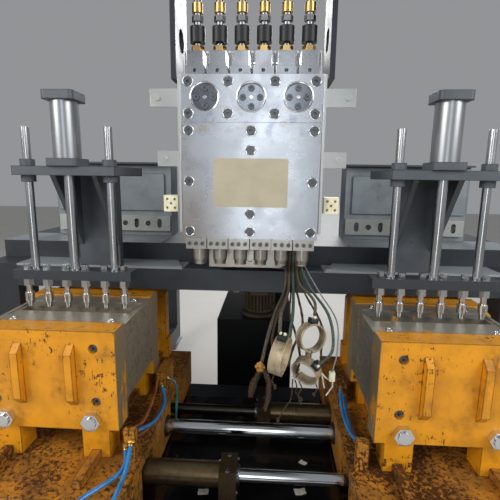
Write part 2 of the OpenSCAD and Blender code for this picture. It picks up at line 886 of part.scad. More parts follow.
// Side rail outline in Y and Z: bores for the guide rods, open notches over the shift cylinders
module rail_outline(notches, bores) {
    difference() {
        translate([saddle_front, saddle_under])
            square([saddle_back - saddle_front, saddle_top - saddle_under]);
        for (y = guide_ys) translate([y - die_setback, rod_z]) circle(r = guide_r + run);
        for (y = notches)
            translate([y - notch_w / 2, saddle_under - 1])
                square([notch_w, table_under - saddle_under + 1]);
        for (y = bores) translate([y, rod_z]) circle(r = shift_rod_r + run);
    }
}

module saddle(side) color("#e8a21a")
    at_station(side) {
        own_y = (side > 0 ? right_tube_y : left_tube_y) - die_setback;
        other_y = (side > 0 ? left_tube_y : right_tube_y) - die_setback;
        difference() {
            union() {
                sideways(saddle_half - saddle_rail, saddle_rail) rail_outline([own_y, other_y], []);
                sideways(-saddle_half, saddle_rail) rail_outline([other_y], [own_y]);
                block([-saddle_half + saddle_rail - 1, saddle_front, table_under],
                      [saddle_half - saddle_rail + 1, saddle_back, saddle_top]);
            }
            for (x = [-1, 1], y = [saddle_front + 20, saddle_back - 20])
                translate([x * (saddle_half - 20), y, saddle_top - 12]) cylinder(r = 6, h = 13);
        }
        // bolted on: the ways, the water manifold at the back, the hose bracket and the front ports
        seat_z = saddle_top + seat;
        for (x = [-way_x, way_x])
            block([x - way_w / 2, saddle_front + 30, seat_z],
                  [x + way_w / 2, saddle_back - 4, saddle_top + way_h]);
        block([hose_x - 14, manifold_y, seat_z], [hose_x + 14, manifold_y + 90, saddle_top + 78]);
        block([hose_x - 14, riser_y - 16, seat_z], [hose_x + 14, riser_y, saddle_top + riser_h]);
        for (x = [saddle_half - 30, saddle_half - 110])
            block([x - 12, saddle_front - 14, saddle_under + 20],
                  [x + 12, saddle_front - seat, saddle_top - 6]);
        if (side < 0)
            translate([saddle_half + seat, manifold_y - 8, saddle_under + 20]) cube([26 - seat, 16, 22]);
    }

// Rod of a shift cylinder: fixed in the outer rail, with its piston in the tube
module shift_rod(side) color("#cdd0d3")
    at_station(side) {
        own_y = (side > 0 ? right_tube_y : left_tube_y) - die_setback;
        rod_end = station_x + tube_start + 45;
        along_x([-saddle_half, own_y, rod_z], saddle_half + rod_end, shift_rod_r);
        along_x([rod_end, own_y, rod_z], 20, tube_r - tube_wall - run);
    }

// Foot that slides on a way, with a groove that fits the way
module shoe(x, y, length) {
    difference() {
        block([x - 32, y, saddle_top + seat], [x + 32, y + length, platen_z + 1]);
        block([x - way_w / 2 - seat, y - 1, saddle_top - 1],
              [x + way_w / 2 + seat, y + length + 1, saddle_top + way_h + seat]);
    }
}

platen_out = -saddle_half;

module platen_plate(y) {
    difference() {
        union() {
            facing(y, platen_t)
                difference() {
                    translate([platen_out, platen_z]) square([mould_w / 2 - platen_out, platen_h]);
                    translate([platen_out - 1, platen_z - 1]) square([48, 70]);
                    translate([platen_out, platen_top]) rotate(45) square(40, center = true);
                }
            for (x = [-way_x, way_x]) shoe(x, y, platen_t);
        }
        for (p = tie_places) along_y([p[0], y - 1, p[1]], platen_t + 2, tie_r + run);
    }
}

module front_platen(side) color("#e8a21a")
    at_station(side)
        difference() {
            union() {
                platen_plate(-mould_t - platen_t);
                // stiffening ribs on the front face
                for (x = [-70, 50])
                    sideways(x, 18)
                        polygon([
                            [-mould_t - platen_t + 1, platen_z + 60],
                            [-mould_t - platen_t - 18, platen_z + 80],
                            [-mould_t - platen_t - 18, platen_top - 50],
                            [-mould_t - platen_t + 1, platen_top - 30]
                        ]);
            }
            for (x = [-120, 110], z = [70, platen_h - 40])
                along_y([x, -mould_t - platen_t - 1, platen_z + z], 14, 10);
        }

module rear_platen(side) color("#e8a21a")
    at_station(side)
        difference() {
            platen_plate(mould_t);
            along_y([0, mould_t + platen_t - 25, clamp_z], 26, clamp_rod_r + run);
        }

// Bottle cavity as a turned shape about its own axis
module bottle() {
    base = mould_z + 20;
    neck = mould_top - trough_d - 14;
    rotate_extrude()
        difference() {
            polygon([
                [0, base + 2], [bottle_r - 7, base + 2], [bottle_r - 5, base],
                [bottle_r - 2, base + 1], [bottle_r, base + 4],
                [bottle_r, base + 30], [bottle_r - 1.5, base + 33],
                [bottle_r - 1.5, base + 60], [bottle_r, base + 63],
                [bottle_r, neck - 22], [bottle_r - 2, neck - 13], [neck_r + 3, neck - 4],
                [neck_r, neck], [neck_r, mould_top], [0, mould_top]
            ]);
            translate([-1, 0]) square([1, mould_top + 1]);
        }
}

// Mould half: six half cavities, a trough for the blow pins, guide pin holes and cooling ports
module mould_half(back) {
    y0 = back ? 0 : -mould_t;
    difference() {
        block([-mould_w / 2, y0, mould_z], [mould_w / 2, y0 + mould_t, mould_top]);
        for (x = die_xs) translate([x, 0, 0]) bottle();
        block([die_xs[0] - 18, -19, mould_top - trough_d], [-die_xs[0] + 18, 19, mould_top + 1]);
        // shallow pocket round the trough
        block([-mould_w / 2 + 9, back ? -1 : -58, mould_top - 3],
              [mould_w / 2 - 9, back ? 58 : 1, mould_top + 1]);
        // joint line of the bottom insert
        difference() {
            block([-mould_w / 2 - 1, y0 - 1, mould_z + 44],
                  [mould_w / 2 + 1, y0 + mould_t + 1, mould_z + 45.5]);
            block([-mould_w / 2 + 2, y0 - 2, mould_z + 43],
                  [mould_w / 2 - 2, y0 + mould_t + 2, mould_z + 47]);
        }
        for (z = [30, 90, 150])
            along_x([mould_w / 2 - 14, y0 + mould_t / 2, mould_z + z], 15, 5.5);
    }
}

module front_mould(side) color("#8c8577")
    at_station(side) mould_half(false);

module rear_mould(side) color("#8c8577")
    at_station(side) mould_half(true);

tie_start = -mould_t - platen_t;
tie_l = crosshead_y + crosshead_t - tie_start;

module tie_bars(side) color("#b0b3b6")
    at_station(side)
        for (p = tie_places)
            translate([p[0], tie_start, p[1]]) {
                along_y([0, -20, 0], tie_l + 40, tie_r);
                translate([0, -16, 0]) rotate([-90, 0, 0]) hex(tie_r + 8, 16);
                translate([0, tie_l, 0]) rotate([-90, 0, 0]) hex(tie_r + 8, 16);
            }

// Crosshead plate with the hollow clamp cylinder behind it
module crosshead(side) color("#e8a21a")
    at_station(side)
        difference() {
            union() {
                facing(crosshead_y, crosshead_t)
                    difference() {
                        translate([platen_out, platen_z]) square([130 - platen_out, platen_h - 8]);
                        translate([platen_out - 1, platen_z - 1]) square([48, 110]);
                        translate([130, platen_top - 8]) rotate(45) square(90, center = true);
                    }
                for (x = [-way_x, way_x]) shoe(x, crosshead_y, crosshead_t);
                along_y([0, crosshead_y + crosshead_t - 1, clamp_z], clamp_tube_l + 1, clamp_tube_r);
                along_y([0, crosshead_y + crosshead_t - 1, clamp_z], 20, clamp_tube_r + 14);
            }
            for (p = tie_places) along_y([p[0], crosshead_y - 1, p[1]], crosshead_t + 2, tie_r + run);
            along_y([0, crosshead_y - 1, clamp_z], crosshead_t + 2, clamp_rod_r + run);
            along_y([0, crosshead_y + crosshead_t, clamp_z], clamp_tube_l - 12, clamp_bore_r);
        }

module clamp_rod(side) color("#cdd0d3")
    at_station(side) {
        start = mould_t + platen_t;
        along_y([0, start - 25, clamp_z], crosshead_gap + crosshead_t + 26, clamp_rod_r);
        along_y([0, crosshead_y + crosshead_t + 1, clamp_z], piston_t, clamp_bore_r - run);
    }

// Power unit

tank_y = head_y + 760;
tank_x = -15;
tank_half = 165;
tank_d = 480;
tank_base = sill_top - 30;
tank_top = sheet_top + 149;
bearer_w = 80;
bearer_inset = 60;
hatch_x = tank_x + 60;
hatch_z = tank_top - 209;
hatch_r = 70;

module oil_tank() color("#24272b") {
    block([tank_x - tank_half, tank_y, tank_base], [tank_x + tank_half, tank_y + tank_d, tank_top]);
    for (y = [tank_y + bearer_inset, tank_y + tank_d - bearer_inset - bearer_w])
        block([-inner_x, y, foot_h + 20], [inner_x, y + bearer_w, tank_base]);
    difference() {
        along_y([hatch_x, tank_y - 10, hatch_z], 10, hatch_r);
        for (a = [0 : 45 : 315])
            translate([hatch_x, tank_y - 11, hatch_z])
                along_y([(hatch_r - 12) * cos(a), 0, (hatch_r - 12) * sin(a)], 5, 4);
    }
}

pump_x = 3;
pump_y = tank_y + 110;

module pump_motor() color("#5f6468")
    translate([pump_x, pump_y, tank_top]) {
        cylinder(r = 82, h = 16);
        translate([0, 0, 15]) cylinder(r = 60, h = 290);
        for (i = [0 : 23])
            rotate([0, 0, i * 15]) translate([56, -2, 30]) cube([18, 4, 200]);
        translate([0, 0, 236]) cylinder(r = 76, h = 74);
        block([-40, -100, 110], [40, -50, 180]);
    }

// Loose heaters and cords

// Each loose heater band: place, outer radius, width, turn about Z, tilt and angle of its terminal box
bands = [
    [[71, -1175, 1071], 36, 24, 72, 8, -100],
    [[132, -1120, 1085], 29, 22, 25, -6, -80],
    [[125, -1126, 1018], 28.5, 22, -32, 18, -40]
];
lump = [34, -1125, 1021];

module heater_bands() color("#a89b7e") {
    for (b = bands)
        translate(b[0]) rotate([0, 0, b[3]]) rotate([b[4], 0, 0]) rotate([0, b[5], 0])
            difference() {
                union() {
                    along_y([0, -b[2] / 2, 0], b[2], b[1]);
                    translate([b[1] + 3, 0, 0]) cube([14, 18, 16], center = true);
                }
                along_y([0, -b[2], 0], 2 * b[2], b[1] - 4);
                translate([-b[1], 0, 0]) cube([16, 2 * b[2], 3], center = true);
            }
    // burnt terminal lump with two hanging strips
    translate(lump) {
        sphere(r = 10);
        facing(-3, 6) polygon([[-5, -4], [4, -7], [-7, -34], [-14, -60], [-24, -62], [-20, -40]]);
        facing(-4, 5)
            polygon([[3, -7], [9, -3], [22, -24], [22, -60], [15, -90], [9, -88], [13, -58], [12, -30]]);
    }
    // loose ceramic connector
    translate([178, -1112, 1000]) cube([12, 10, 20], center = true);
}

// Cord routes: radius, then points chosen by hand
lead_routes = [
    [3.5, [[91, -839, 1228], [90, -846, 1180], [86, -925, 1126], [66, -1010, 1104], [50, -1075, 1076],
        [37, -1120, 1030]]],
    [3.5, [[99, -839, 1228], [98.5, -846, 1180], [95, -930, 1130], [80, -1060, 1130], [71, -1160, 1146],
        [69, -1183, 1117]]],
    [3.5, [[107, -839, 1228], [107, -846, 1180], [106, -935, 1130], [100, -1045, 1112], [92, -1108, 1088],
        [87, -1142, 1070]]],
    [3, [[115, -839, 1228], [115.5, -846, 1180], [120, -930, 1142], [134, -1040, 1148], [140, -1098, 1146],
        [138, -1110, 1123]]],
    [3, [[123, -839, 1228], [124, -846, 1180], [142, -945, 1140], [170, -1080, 1118], [170, -1152, 1076],
        [147, -1149, 1043]]],
    [1.5, [[131, -839, 1228], [133, -846, 1180], [162, -955, 1134], [190, -1060, 1100], [187, -1105, 1050],
        [178, -1112, 1010]]]
];
motor_routes = [
    [3, [[-190, -250, 1120], [-188, -250, 1000], [-120, -235, 918], [-37, -155, 905]]],
    [3, [[-160, -250, 1120], [-160, -248, 985], [-100, -228, 922], [-37, -165, 918]]],
    [2.5, [[-130, -252, 1120], [-130, -252, 1010], [-92, -225, 938], [-37, -150, 932]]]
];
left_routes = [
    [5, [[-262, -800, 796], [-239, -850, 766], [-239, -950, 772], [-256, -1050, 810]]],
    [4, [[-253, -800, 776], [-250, -860, 757], [-252, -960, 760], [-264, -1050, 790]]],
    [4, [[-271, -800, 814], [-262, -870, 797], [-260, -970, 786], [-270, -1050, 814]]],
    [3.5, [[-248, -788, 806], [-221, -792, 792], [-218, -800, 730], [-222, -800, 672]]],
    [5, [[-256, -1066, 800], [-250, -1130, 768], [-250, -1206, 757], [-256, -1258, 711], [-268, -1204, 666]]],
    [5, [[-270, -1066, 788], [-262, -1120, 764], [-330, -1212, 754], [-346, -1258, 708], [-348, -1204, 664]]]
];
right_routes = [
    [5, [[258, -800, 806], [250, -870, 784], [252, -970, 782], [260, -1050, 808]]],
    [5, [[268, -800, 788], [266, -870, 762], [266, -970, 764], [268, -1050, 788]]]
];

// Cord rings: the side direction is carried from point to point, so that the tube does not twist
function unit(v) = v / norm(v);
function across(d) = unit(cross(d, abs(d[2]) > 0.9 ? [1, 0, 0] : [0, 0, 1]));
function carried(u, d) = unit(u - (u * d) * d);
function side_way(dirs, i) = i == 0 ? across(dirs[0]) : carried(side_way(dirs, i - 1), dirs[i]);
function course(p, i) =
    i == 0 ? unit(p[1] - p[0]) :
    i == len(p) - 1 ? unit(p[i] - p[i - 1]) :
    unit(unit(p[i + 1] - p[i]) + unit(p[i] - p[i - 1]));
function ring(centre, u, w, r) = [
    for (a = [0 : 360 / cord_sides : 359]) centre + r * (cos(a) * u + sin(a) * w)
];

cord_sides = 8;

module cord(route) {
    r = route[0];
    p = route[1];
    n = cord_sides;
    k = len(p);
    dirs = [for (i = [0 : k - 1]) course(p, i)];
    points = [
        for (i = [0 : k - 1])
            let (u = side_way(dirs, i))
                each ring(p[i], u, cross(dirs[i], u), r)
    ];
    sides = [
        for (i = [0 : k - 2], j = [0 : n - 1])
            [i * n + j, i * n + (j + 1) % n, (i + 1) * n + (j + 1) % n, (i + 1) * n + j]
    ];
    ends = [[for (j = [n - 1 : -1 : 0]) j], [for (j = [0 : n - 1]) (k - 1) * n + j]];
    polyhedron(points, concat(sides, ends));
}

module loose_leads() color("#6f6a58")
    for (r = concat(lead_routes, motor_routes)) cord(r);

module left_hoses() color("#2e7fc4")
    for (r = left_routes) cord(r);

module right_hoses() color("#2e7fc4")
    for (r = right_routes) cord(r);

floor_sills();
levelling_feet();
bed_housing();
cover_sheet();
end_brackets();
guide_rods();
shift_cylinders();
posts();
crossbeam();
deck();
deck_brackets();
side_panels();
slotted_bars();
socket_screws();
head_body();
face_plates();
port_plugs();
nameplate();
side_covers();
terminal_blocks();
guide_blocks();
die_clamps();
die_nozzles();
bottom_flange();
mandrels();
mandrel_yoke();
servo_cylinder();
extruder_barrel();
barrel_heaters();
extruder_screw();
gearbox();
drive_motor();
hopper();
blow_stands();
oil_tank();
pump_motor();
saddle(-1);  // left_saddle
saddle(1);  // right_saddle
shift_rod(-1);  // left_shift_rod
shift_rod(1);  // right_shift_rod
front_platen(-1);  // left_front_platen
front_platen(1);  // right_front_platen
rear_platen(-1);  // left_rear_platen
rear_platen(1);  // right_rear_platen
front_mould(-1);  // left_front_mould
front_mould(1);  // right_front_mould
rear_mould(-1);  // left_rear_mould
rear_mould(1);  // right_rear_mould
tie_bars(-1);  // left_tie_bars
tie_bars(1);  // right_tie_bars
crosshead(-1);  // left_crosshead
crosshead(1);  // right_crosshead
clamp_rod(-1);  // left_clamp_rod
clamp_rod(1);  // right_clamp_rod
blow_pins(-1);  // left_blow_pins
blow_pins(1);  // right_blow_pins
heater_bands();
loose_leads();
left_hoses();
right_hoses();
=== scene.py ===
# %% [markdown]
# # Dressing a blow moulding machine
# The solids of the machine come from its CAD source and stay as they are. This lesson gives them the finishes of
# the real machine (ground tool steel, chipped yellow paint, oily black sheet) and adds what solids leave out:
# hoses, leads, loose band heaters, fittings and small screws.

# %% Load the machine
import math
import random

import bmesh
import bpy
from mathutils import Matrix, Quaternion, Vector, noise


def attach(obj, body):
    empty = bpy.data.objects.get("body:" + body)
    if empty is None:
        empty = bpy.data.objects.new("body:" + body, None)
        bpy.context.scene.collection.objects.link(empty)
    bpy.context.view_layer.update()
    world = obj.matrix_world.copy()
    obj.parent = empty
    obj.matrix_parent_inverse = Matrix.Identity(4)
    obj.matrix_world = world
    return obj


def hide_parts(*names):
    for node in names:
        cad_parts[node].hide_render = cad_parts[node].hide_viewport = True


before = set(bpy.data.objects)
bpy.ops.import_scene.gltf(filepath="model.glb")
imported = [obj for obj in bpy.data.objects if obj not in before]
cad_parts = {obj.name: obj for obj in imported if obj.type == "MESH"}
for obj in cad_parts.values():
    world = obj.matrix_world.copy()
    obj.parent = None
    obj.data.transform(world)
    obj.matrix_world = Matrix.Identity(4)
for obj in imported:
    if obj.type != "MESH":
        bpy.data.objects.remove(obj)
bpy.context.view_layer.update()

random.seed(11)

# %% [markdown]
# ## The camera
# The photograph was taken from between the two mould carriages, a little above the dies and looking slightly down.
# A camera could be turned by hand until it looks right. Here its place and direction were worked out from the
# corners of the die head, so that every later comparison with the photograph is a fair one.

# %% Set up the camera
lens = bpy.data.cameras.new("photo_camera")
lens.lens = 28.63
camera = bpy.data.objects.new("photo_camera", lens)
bpy.context.scene.collection.objects.link(camera)
camera.location = (0.0491, -1.8605, 1.3928)
looking = Vector((-0.0514, 0.9821, -0.1814))
roll = Quaternion((0, 0, 1), math.radians(0.727))
camera.rotation_mode = "QUATERNION"
camera.rotation_quaternion = looking.to_track_quat("-Z", "Y") @ roll
bpy.context.scene.camera = camera
print("camera at", tuple(camera.location), "lens", lens.lens)

# %% [markdown]
# ## Hoses and leads
# A hose is a fixed length of something bendy, so it is drawn as a line with a thickness. A tube mesh would work
# too, but a curve keeps its round section through every bend and stays easy to edit. The points below are the
# ones that the CAD source names; a smooth line is laid through them.

# %% Lay a smooth line through given points
def smooth_line(stops, steps=6):
    points = [Vector(p) / 1000 for p in stops]
    padded = [2 * points[0] - points[1], *points, 2 * points[-1] - points[-2]]
    line = []
    for a, b, c, d in zip(padded, padded[1:], padded[2:], padded[3:]):
        for i in range(steps):
            t = i / steps
            curved, twisted = 2 * a - 5 * b + 4 * c - d, 3 * b - a - 3 * c + d
            line.append(0.5 * (2 * b + (c - a) * t + curved * t**2 + twisted * t**3))
    line.append(points[-1])
    return line


def run_length(line):
    return sum((b - a).length for a, b in zip(line, line[1:]))


# %% Draw one cord on its body
def run_cord(name, radius, stops, body, node, stiffness, slot):
    line = smooth_line(stops)
    curve = bpy.data.curves.new(name, "CURVE")
    curve.dimensions = "3D"
    curve.bevel_depth = 1.0
    curve.bevel_resolution = 3
    curve.use_fill_caps = True
    spline = curve.splines.new("POLY")
    spline.points.add(len(line) - 1)
    for place, p in zip(spline.points, line):
        place.co = (*p, 1)
        place.radius = radius / 1000
    spline.use_smooth = True
    cord = bpy.data.objects.new(name, curve)
    bpy.context.scene.collection.objects.link(cord)
    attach(cord, body)
    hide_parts(node)
    return cord


# %% The routes of leads and hoses
heater_stops = [
    (3.5, [(91, -839, 1228), (90, -846, 1180), (86, -925, 1126), (66, -1010, 1104),
           (50, -1075, 1076), (37, -1120, 1030)]),
    (3.5, [(99, -839, 1228), (98.5, -846, 1180), (95, -930, 1130), (80, -1060, 1130),
           (71, -1160, 1146), (69, -1183, 1117)]),
    (3.5, [(107, -839, 1228), (107, -846, 1180), (106, -935, 1130), (100, -1045, 1112),
           (92, -1108, 1088), (87, -1142, 1070)]),
    (3, [(115, -839, 1228), (115.5, -846, 1180), (120, -930, 1142), (134, -1040, 1148),
         (140, -1098, 1146), (138, -1110, 1123)]),
    (3, [(123, -839, 1228), (124, -846, 1180), (142, -945, 1140), (170, -1080, 1118),
         (170, -1152, 1076), (147, -1149, 1043)]),
    (1.5, [(131, -839, 1228), (133, -846, 1180), (162, -955, 1134), (190, -1060, 1100),
           (187, -1105, 1050), (178, -1112, 1010)]),
]
motor_stops = [
    (3, [(-190, -250, 1120), (-188, -250, 1000), (-120, -235, 918), (-37, -155, 905)]),
    (3, [(-160, -250, 1120), (-160, -248, 985), (-100, -228, 922), (-37, -165, 918)]),
    (2.5, [(-130, -252, 1120), (-130, -252, 1010), (-92, -225, 938), (-37, -150, 932)]),
]
left_stops = [
    (5, [(-262, -800, 796), (-239, -850, 766), (-239, -950, 772), (-256, -1050, 810)]),
    (4, [(-253, -800, 776), (-250, -860, 757), (-252, -960, 760), (-264, -1050, 790)]),
    (4, [(-271, -800, 814), (-262, -870, 797), (-260, -970, 786), (-270, -1050, 814)]),
    (3.5, [(-248, -788, 806), (-221, -792, 792), (-218, -800, 730), (-222, -800, 672)]),
    (5, [(-256, -1066, 800), (-250, -1130, 768), (-250, -1206, 757), (-256, -1258, 711), (-268, -1204, 666)]),
    (5, [(-270, -1066, 788), (-262, -1120, 764), (-330, -1212, 754), (-346, -1258, 708), (-348, -1204, 664)]),
]
right_stops = [
    (5, [(258, -800, 806), (250, -870, 784), (252, -970, 782), (260, -1050, 808)]),
    (5, [(268, -800, 788), (266, -870, 762), (266, -970, 764), (268, -1050, 788)]),
]
print("longest lead:", round(max(run_length(smooth_line(stops)) for _, stops in heater_stops), 3), "m")

# %% Hang the cords
heater_leads = [run_cord(f"heater_lead_{i}", *stops, "frame", "loose_leads", "limp", "lead")
                for i, stops in enumerate(heater_stops)]
motor_leads = [run_cord(f"motor_lead_{i}", *stops, "frame", "loose_leads", "medium", "lead")
               for i, stops in enumerate(motor_stops)]
left_hoses = [run_cord(f"left_hose_{i}", *stops, "left_carriage", "left_hoses", "medium", "blue_hose")
              for i, stops in enumerate(left_stops)]
right_hoses = [run_cord(f"right_hose_{i}", *stops, "right_carriage", "right_hoses", "medium", "blue_hose")
               for i, stops in enumerate(right_stops)]
print("cords:", len(heater_leads + motor_leads + left_hoses + right_hoses))

# %% [markdown]
# ## Building finishes from nodes
# A real workshop surface is never one colour. Paint is uneven and chips at the edges, steel shows the direction in
# which it was ground, and oil lies in smears. Pictures of surfaces could be wrapped round the parts, but they need
# unwrapping and blur close up. Here every finish is worked out by nodes from the place on the part.

# %% Small helpers for node trees
def colour(code):
    parts = [int(code[i:i + 2], 16) / 255 for i in (1, 3, 5)]
    return (*[p / 12.92 if p <= 0.04045 else ((p + 0.055) / 1.055) ** 2.4 for p in parts], 1)


def shaded(code, share):
    return [min(1, part * share) for part in colour(code)[:3]] + [1]


def add_node(tree, kind, inputs=None, **settings):
    made = tree.nodes.new(kind)
    for name, value in settings.items():
        setattr(made, name, value)
    for name, value in (inputs or {}).items():
        if isinstance(value, bpy.types.NodeSocket):
            tree.links.new(value, made.inputs[name])
        else:
            made.inputs[name].default_value = value
    return made


def new_finish(name):
    finish = bpy.data.materials.new(name)
    finish.use_nodes = True
    tree = finish.node_tree
    return finish, tree, tree.nodes["Principled BSDF"]


print("mid grey in linear light:", [round(part, 3) for part in colour("#808080")])

# %% Sums, fades and mixes
def math_node(tree, operation, a, b=0.0):
    return add_node(tree, "ShaderNodeMath", {0: a, 1: b}, operation=operation).outputs[0]


def times(tree, a, b):
    return math_node(tree, "MULTIPLY", a, b)


def above(tree, value, edge):
    return math_node(tree, "GREATER_THAN", value, edge)


def below(tree, value, edge):
    return math_node(tree, "LESS_THAN", value, edge)


def fade(tree, value, low, high):
    return add_node(tree, "ShaderNodeMapRange", {"Value": value, "From Min": low, "From Max": high},
                    interpolation_type="SMOOTHSTEP").outputs[0]


def mixed(tree, amount, first, second):
    made = add_node(tree, "ShaderNodeMix", {0: amount, 6: first, 7: second}, data_type="RGBA")
    return made.outputs[2]


def level(tree, amount, first, second):
    return add_node(tree, "ShaderNodeMix", {0: amount, 2: first, 3: second}, data_type="FLOAT").outputs[0]


# %% Patterns that the finishes share
def place_on_part(tree, stretch=(1, 1, 1)):
    coordinates = add_node(tree, "ShaderNodeTexCoord")
    inputs = {"Vector": coordinates.outputs["Object"], "Scale": stretch}
    return add_node(tree, "ShaderNodeMapping", inputs).outputs[0]


def mottle(tree, size, detail=4.0, stretch=(1, 1, 1), roughness=0.55):
    place = place_on_part(tree, stretch)
    return add_node(tree, "ShaderNodeTexNoise",
                    {"Vector": place, "Scale": 1 / size, "Detail": detail, "Roughness": roughness}).outputs[0]


def rubbed_edges(tree, reach):
    rounded = add_node(tree, "ShaderNodeBevel", {"Radius": reach}, samples=5)
    true = add_node(tree, "ShaderNodeNewGeometry")
    along = add_node(tree, "ShaderNodeVectorMath", {0: rounded.outputs[0], 1: true.outputs["Normal"]},
                     operation="DOT_PRODUCT").outputs["Value"]
    return fade(tree, math_node(tree, "SUBTRACT", 1.0, along), 0.01, 0.22)


# %% Masks from place and direction
def facing_up(tree):
    coordinates = add_node(tree, "ShaderNodeTexCoord")
    split = add_node(tree, "ShaderNodeSeparateXYZ", {0: coordinates.outputs["Normal"]})
    return split.outputs[2]


def along_part(tree, axis):
    coordinates = add_node(tree, "ShaderNodeTexCoord")
    return add_node(tree, "ShaderNodeSeparateXYZ", {0: coordinates.outputs["Object"]}).outputs["XYZ".index(axis)]


def off_middle(tree):
    return math_node(tree, "ABSOLUTE", along_part(tree, "X"))


def between(tree, value, low, high):
    return times(tree, above(tree, value, low), below(tree, value, high))


def raise_surface(tree, shader, height, depth, soften=0.0012):
    soft = add_node(tree, "ShaderNodeBevel", {"Radius": soften}, samples=4).outputs[0]
    bump = add_node(tree, "ShaderNodeBump", {"Height": height, "Distance": depth, "Normal": soft})
    tree.links.new(bump.outputs[0], shader.inputs["Normal"])


# %% A second coat where a mask says so
def second_coat(finish, mask, shade, roughness=None, metallic=None):
    tree = finish.node_tree
    shader = tree.nodes["Principled BSDF"]
    for name, value in (("Base Color", colour(shade)), ("Roughness", roughness), ("Metallic", metallic)):
        if value is not None:
            socket = shader.inputs[name]
            before = socket.links[0].from_socket if socket.is_linked else socket.default_value
            join = mixed if name == "Base Color" else level
            tree.links.new(join(tree, mask, before, value), socket)


# %% [markdown]
# ## Painted steel
# Machine paint on steel fails at its edges first, then in patches where tools and hands hit it. A single mask of
# noise plus worn edges decides where the paint is gone. The same mask changes colour, roughness and metal, and
# lowers the surface by the thickness of the paint, so all of them agree.

# %% Painted steel
def painted_steel(name, paint, under, wear=0.4, dirt=0.4, roughness=0.42, soil="#1d1a16", chip_size=0.018):
    finish, tree, shader = new_finish(name)
    patches = mottle(tree, chip_size, 7, roughness=0.62)
    broad = mottle(tree, 0.16, 3)
    edges = rubbed_edges(tree, 0.004)
    scrapes = mottle(tree, 0.012, 5, stretch=(5, 5, 0.3))
    lost = times(tree, patches, 0.5)
    for layer, share in ((scrapes, 0.3), (broad, 0.35), (edges, 0.5)):
        lost = math_node(tree, "ADD", lost, times(tree, layer, share))
    start = 0.76 - 0.13 * wear
    lost = fade(tree, lost, start, start + 0.035)
    tone = fade(tree, mottle(tree, 0.05, 5), 0.3, 0.75)
    coat = mixed(tree, tone, colour(paint), shaded(paint, 0.78))
    grime = fade(tree, mottle(tree, 0.07, 7, roughness=0.7), 0.68 - 0.3 * dirt, 0.92 - 0.3 * dirt)
    runs = fade(tree, mottle(tree, 0.03, 3, stretch=(3, 3, 0.25)), 0.5, 0.85)
    soiled = times(tree, grime, math_node(tree, "ADD", times(tree, runs, 0.5), 0.45))
    coat = mixed(tree, soiled, coat, colour(soil))
    rust = mixed(tree, mottle(tree, 0.008, 4), colour(under), shaded(under, 0.4))
    tree.links.new(mixed(tree, lost, coat, rust), shader.inputs["Base Color"])
    worn = level(tree, grime, roughness, roughness + 0.2)
    tree.links.new(level(tree, lost, worn, 0.62), shader.inputs["Roughness"])
    tree.links.new(times(tree, lost, 0.55), shader.inputs["Metallic"])
    relief = math_node(tree, "SUBTRACT", times(tree, mottle(tree, 0.003, 2), 0.12), lost)
    raise_surface(tree, shader, relief, 0.0004)
    return finish


# %% [markdown]
# ## Bare steel
# Ground steel is covered in fine parallel lines. They stretch every highlight across their own direction, which
# is why the middle of the die head glares as an upright band. Noise squeezed along one axis gives those lines;
# slow noise adds the stains that hot plastic and oil leave.

# %% Ground, stained and polished steel
def bare_steel(name, metal, roughness=0.3, lines=(6, 6, 420), line_depth=0.00004, stain="#6d5a3f",
               stained=0.35, bright_edges=0.5, metallic=1.0):
    finish, tree, shader = new_finish(name)
    grain = mottle(tree, 0.5, 3, stretch=lines)
    cloud = fade(tree, mottle(tree, 0.06, 5), 0.35, 0.8)
    marks = fade(tree, mottle(tree, 0.016, 7, roughness=0.7), 0.6 - 0.2 * stained, 0.95 - 0.15 * stained)
    base = mixed(tree, times(tree, cloud, 0.35), colour(metal), shaded(metal, 0.7))
    base = mixed(tree, times(tree, grain, 0.22), base, shaded(metal, 0.55))
    base = mixed(tree, times(tree, marks, stained), base, colour(stain))
    edges = times(tree, rubbed_edges(tree, 0.0025), bright_edges)
    base = mixed(tree, edges, base, shaded(metal, 1.25))
    tree.links.new(base, shader.inputs["Base Color"])
    spread = level(tree, cloud, roughness, roughness + 0.12)
    spread = level(tree, times(tree, marks, 0.5), spread, roughness + 0.2)
    tree.links.new(spread, shader.inputs["Roughness"])
    shader.inputs["Metallic"].default_value = metallic
    raise_surface(tree, shader, grain, line_depth, 0.0008)
    return finish


# %% [markdown]
# ## Oil, plastic and ceramic
# The bed's cover sheet is black because it is wet with oil. A dark base under a clear coat gives the deep gloss,
# and a little noise in the coat's roughness gives wiped and dusty places. Plastic and ceramic need only
# small, soft changes of colour.

# %% Oily sheet, plastic and ceramic
def oily_sheet(name):
    finish, tree, shader = new_finish(name)
    smear = fade(tree, mottle(tree, 0.11, 5, stretch=(0.5, 1.6, 1)), 0.4, 0.75)
    drops = fade(tree, mottle(tree, 0.006, 3), 0.72, 0.8)
    dust = mixed(tree, times(tree, smear, 0.35), colour("#0c0d0f"), colour("#2c2b29"))
    spotted = mixed(tree, times(tree, drops, 0.45), dust, colour("#4b4742"))
    tree.links.new(spotted, shader.inputs["Base Color"])
    tree.links.new(level(tree, smear, 0.12, 0.34), shader.inputs["Roughness"])
    shader.inputs["Coat Weight"].default_value = 0.6
    shader.inputs["Coat Roughness"].default_value = 0.08
    raise_surface(tree, shader, mottle(tree, 0.09, 3), 0.0012)
    return finish


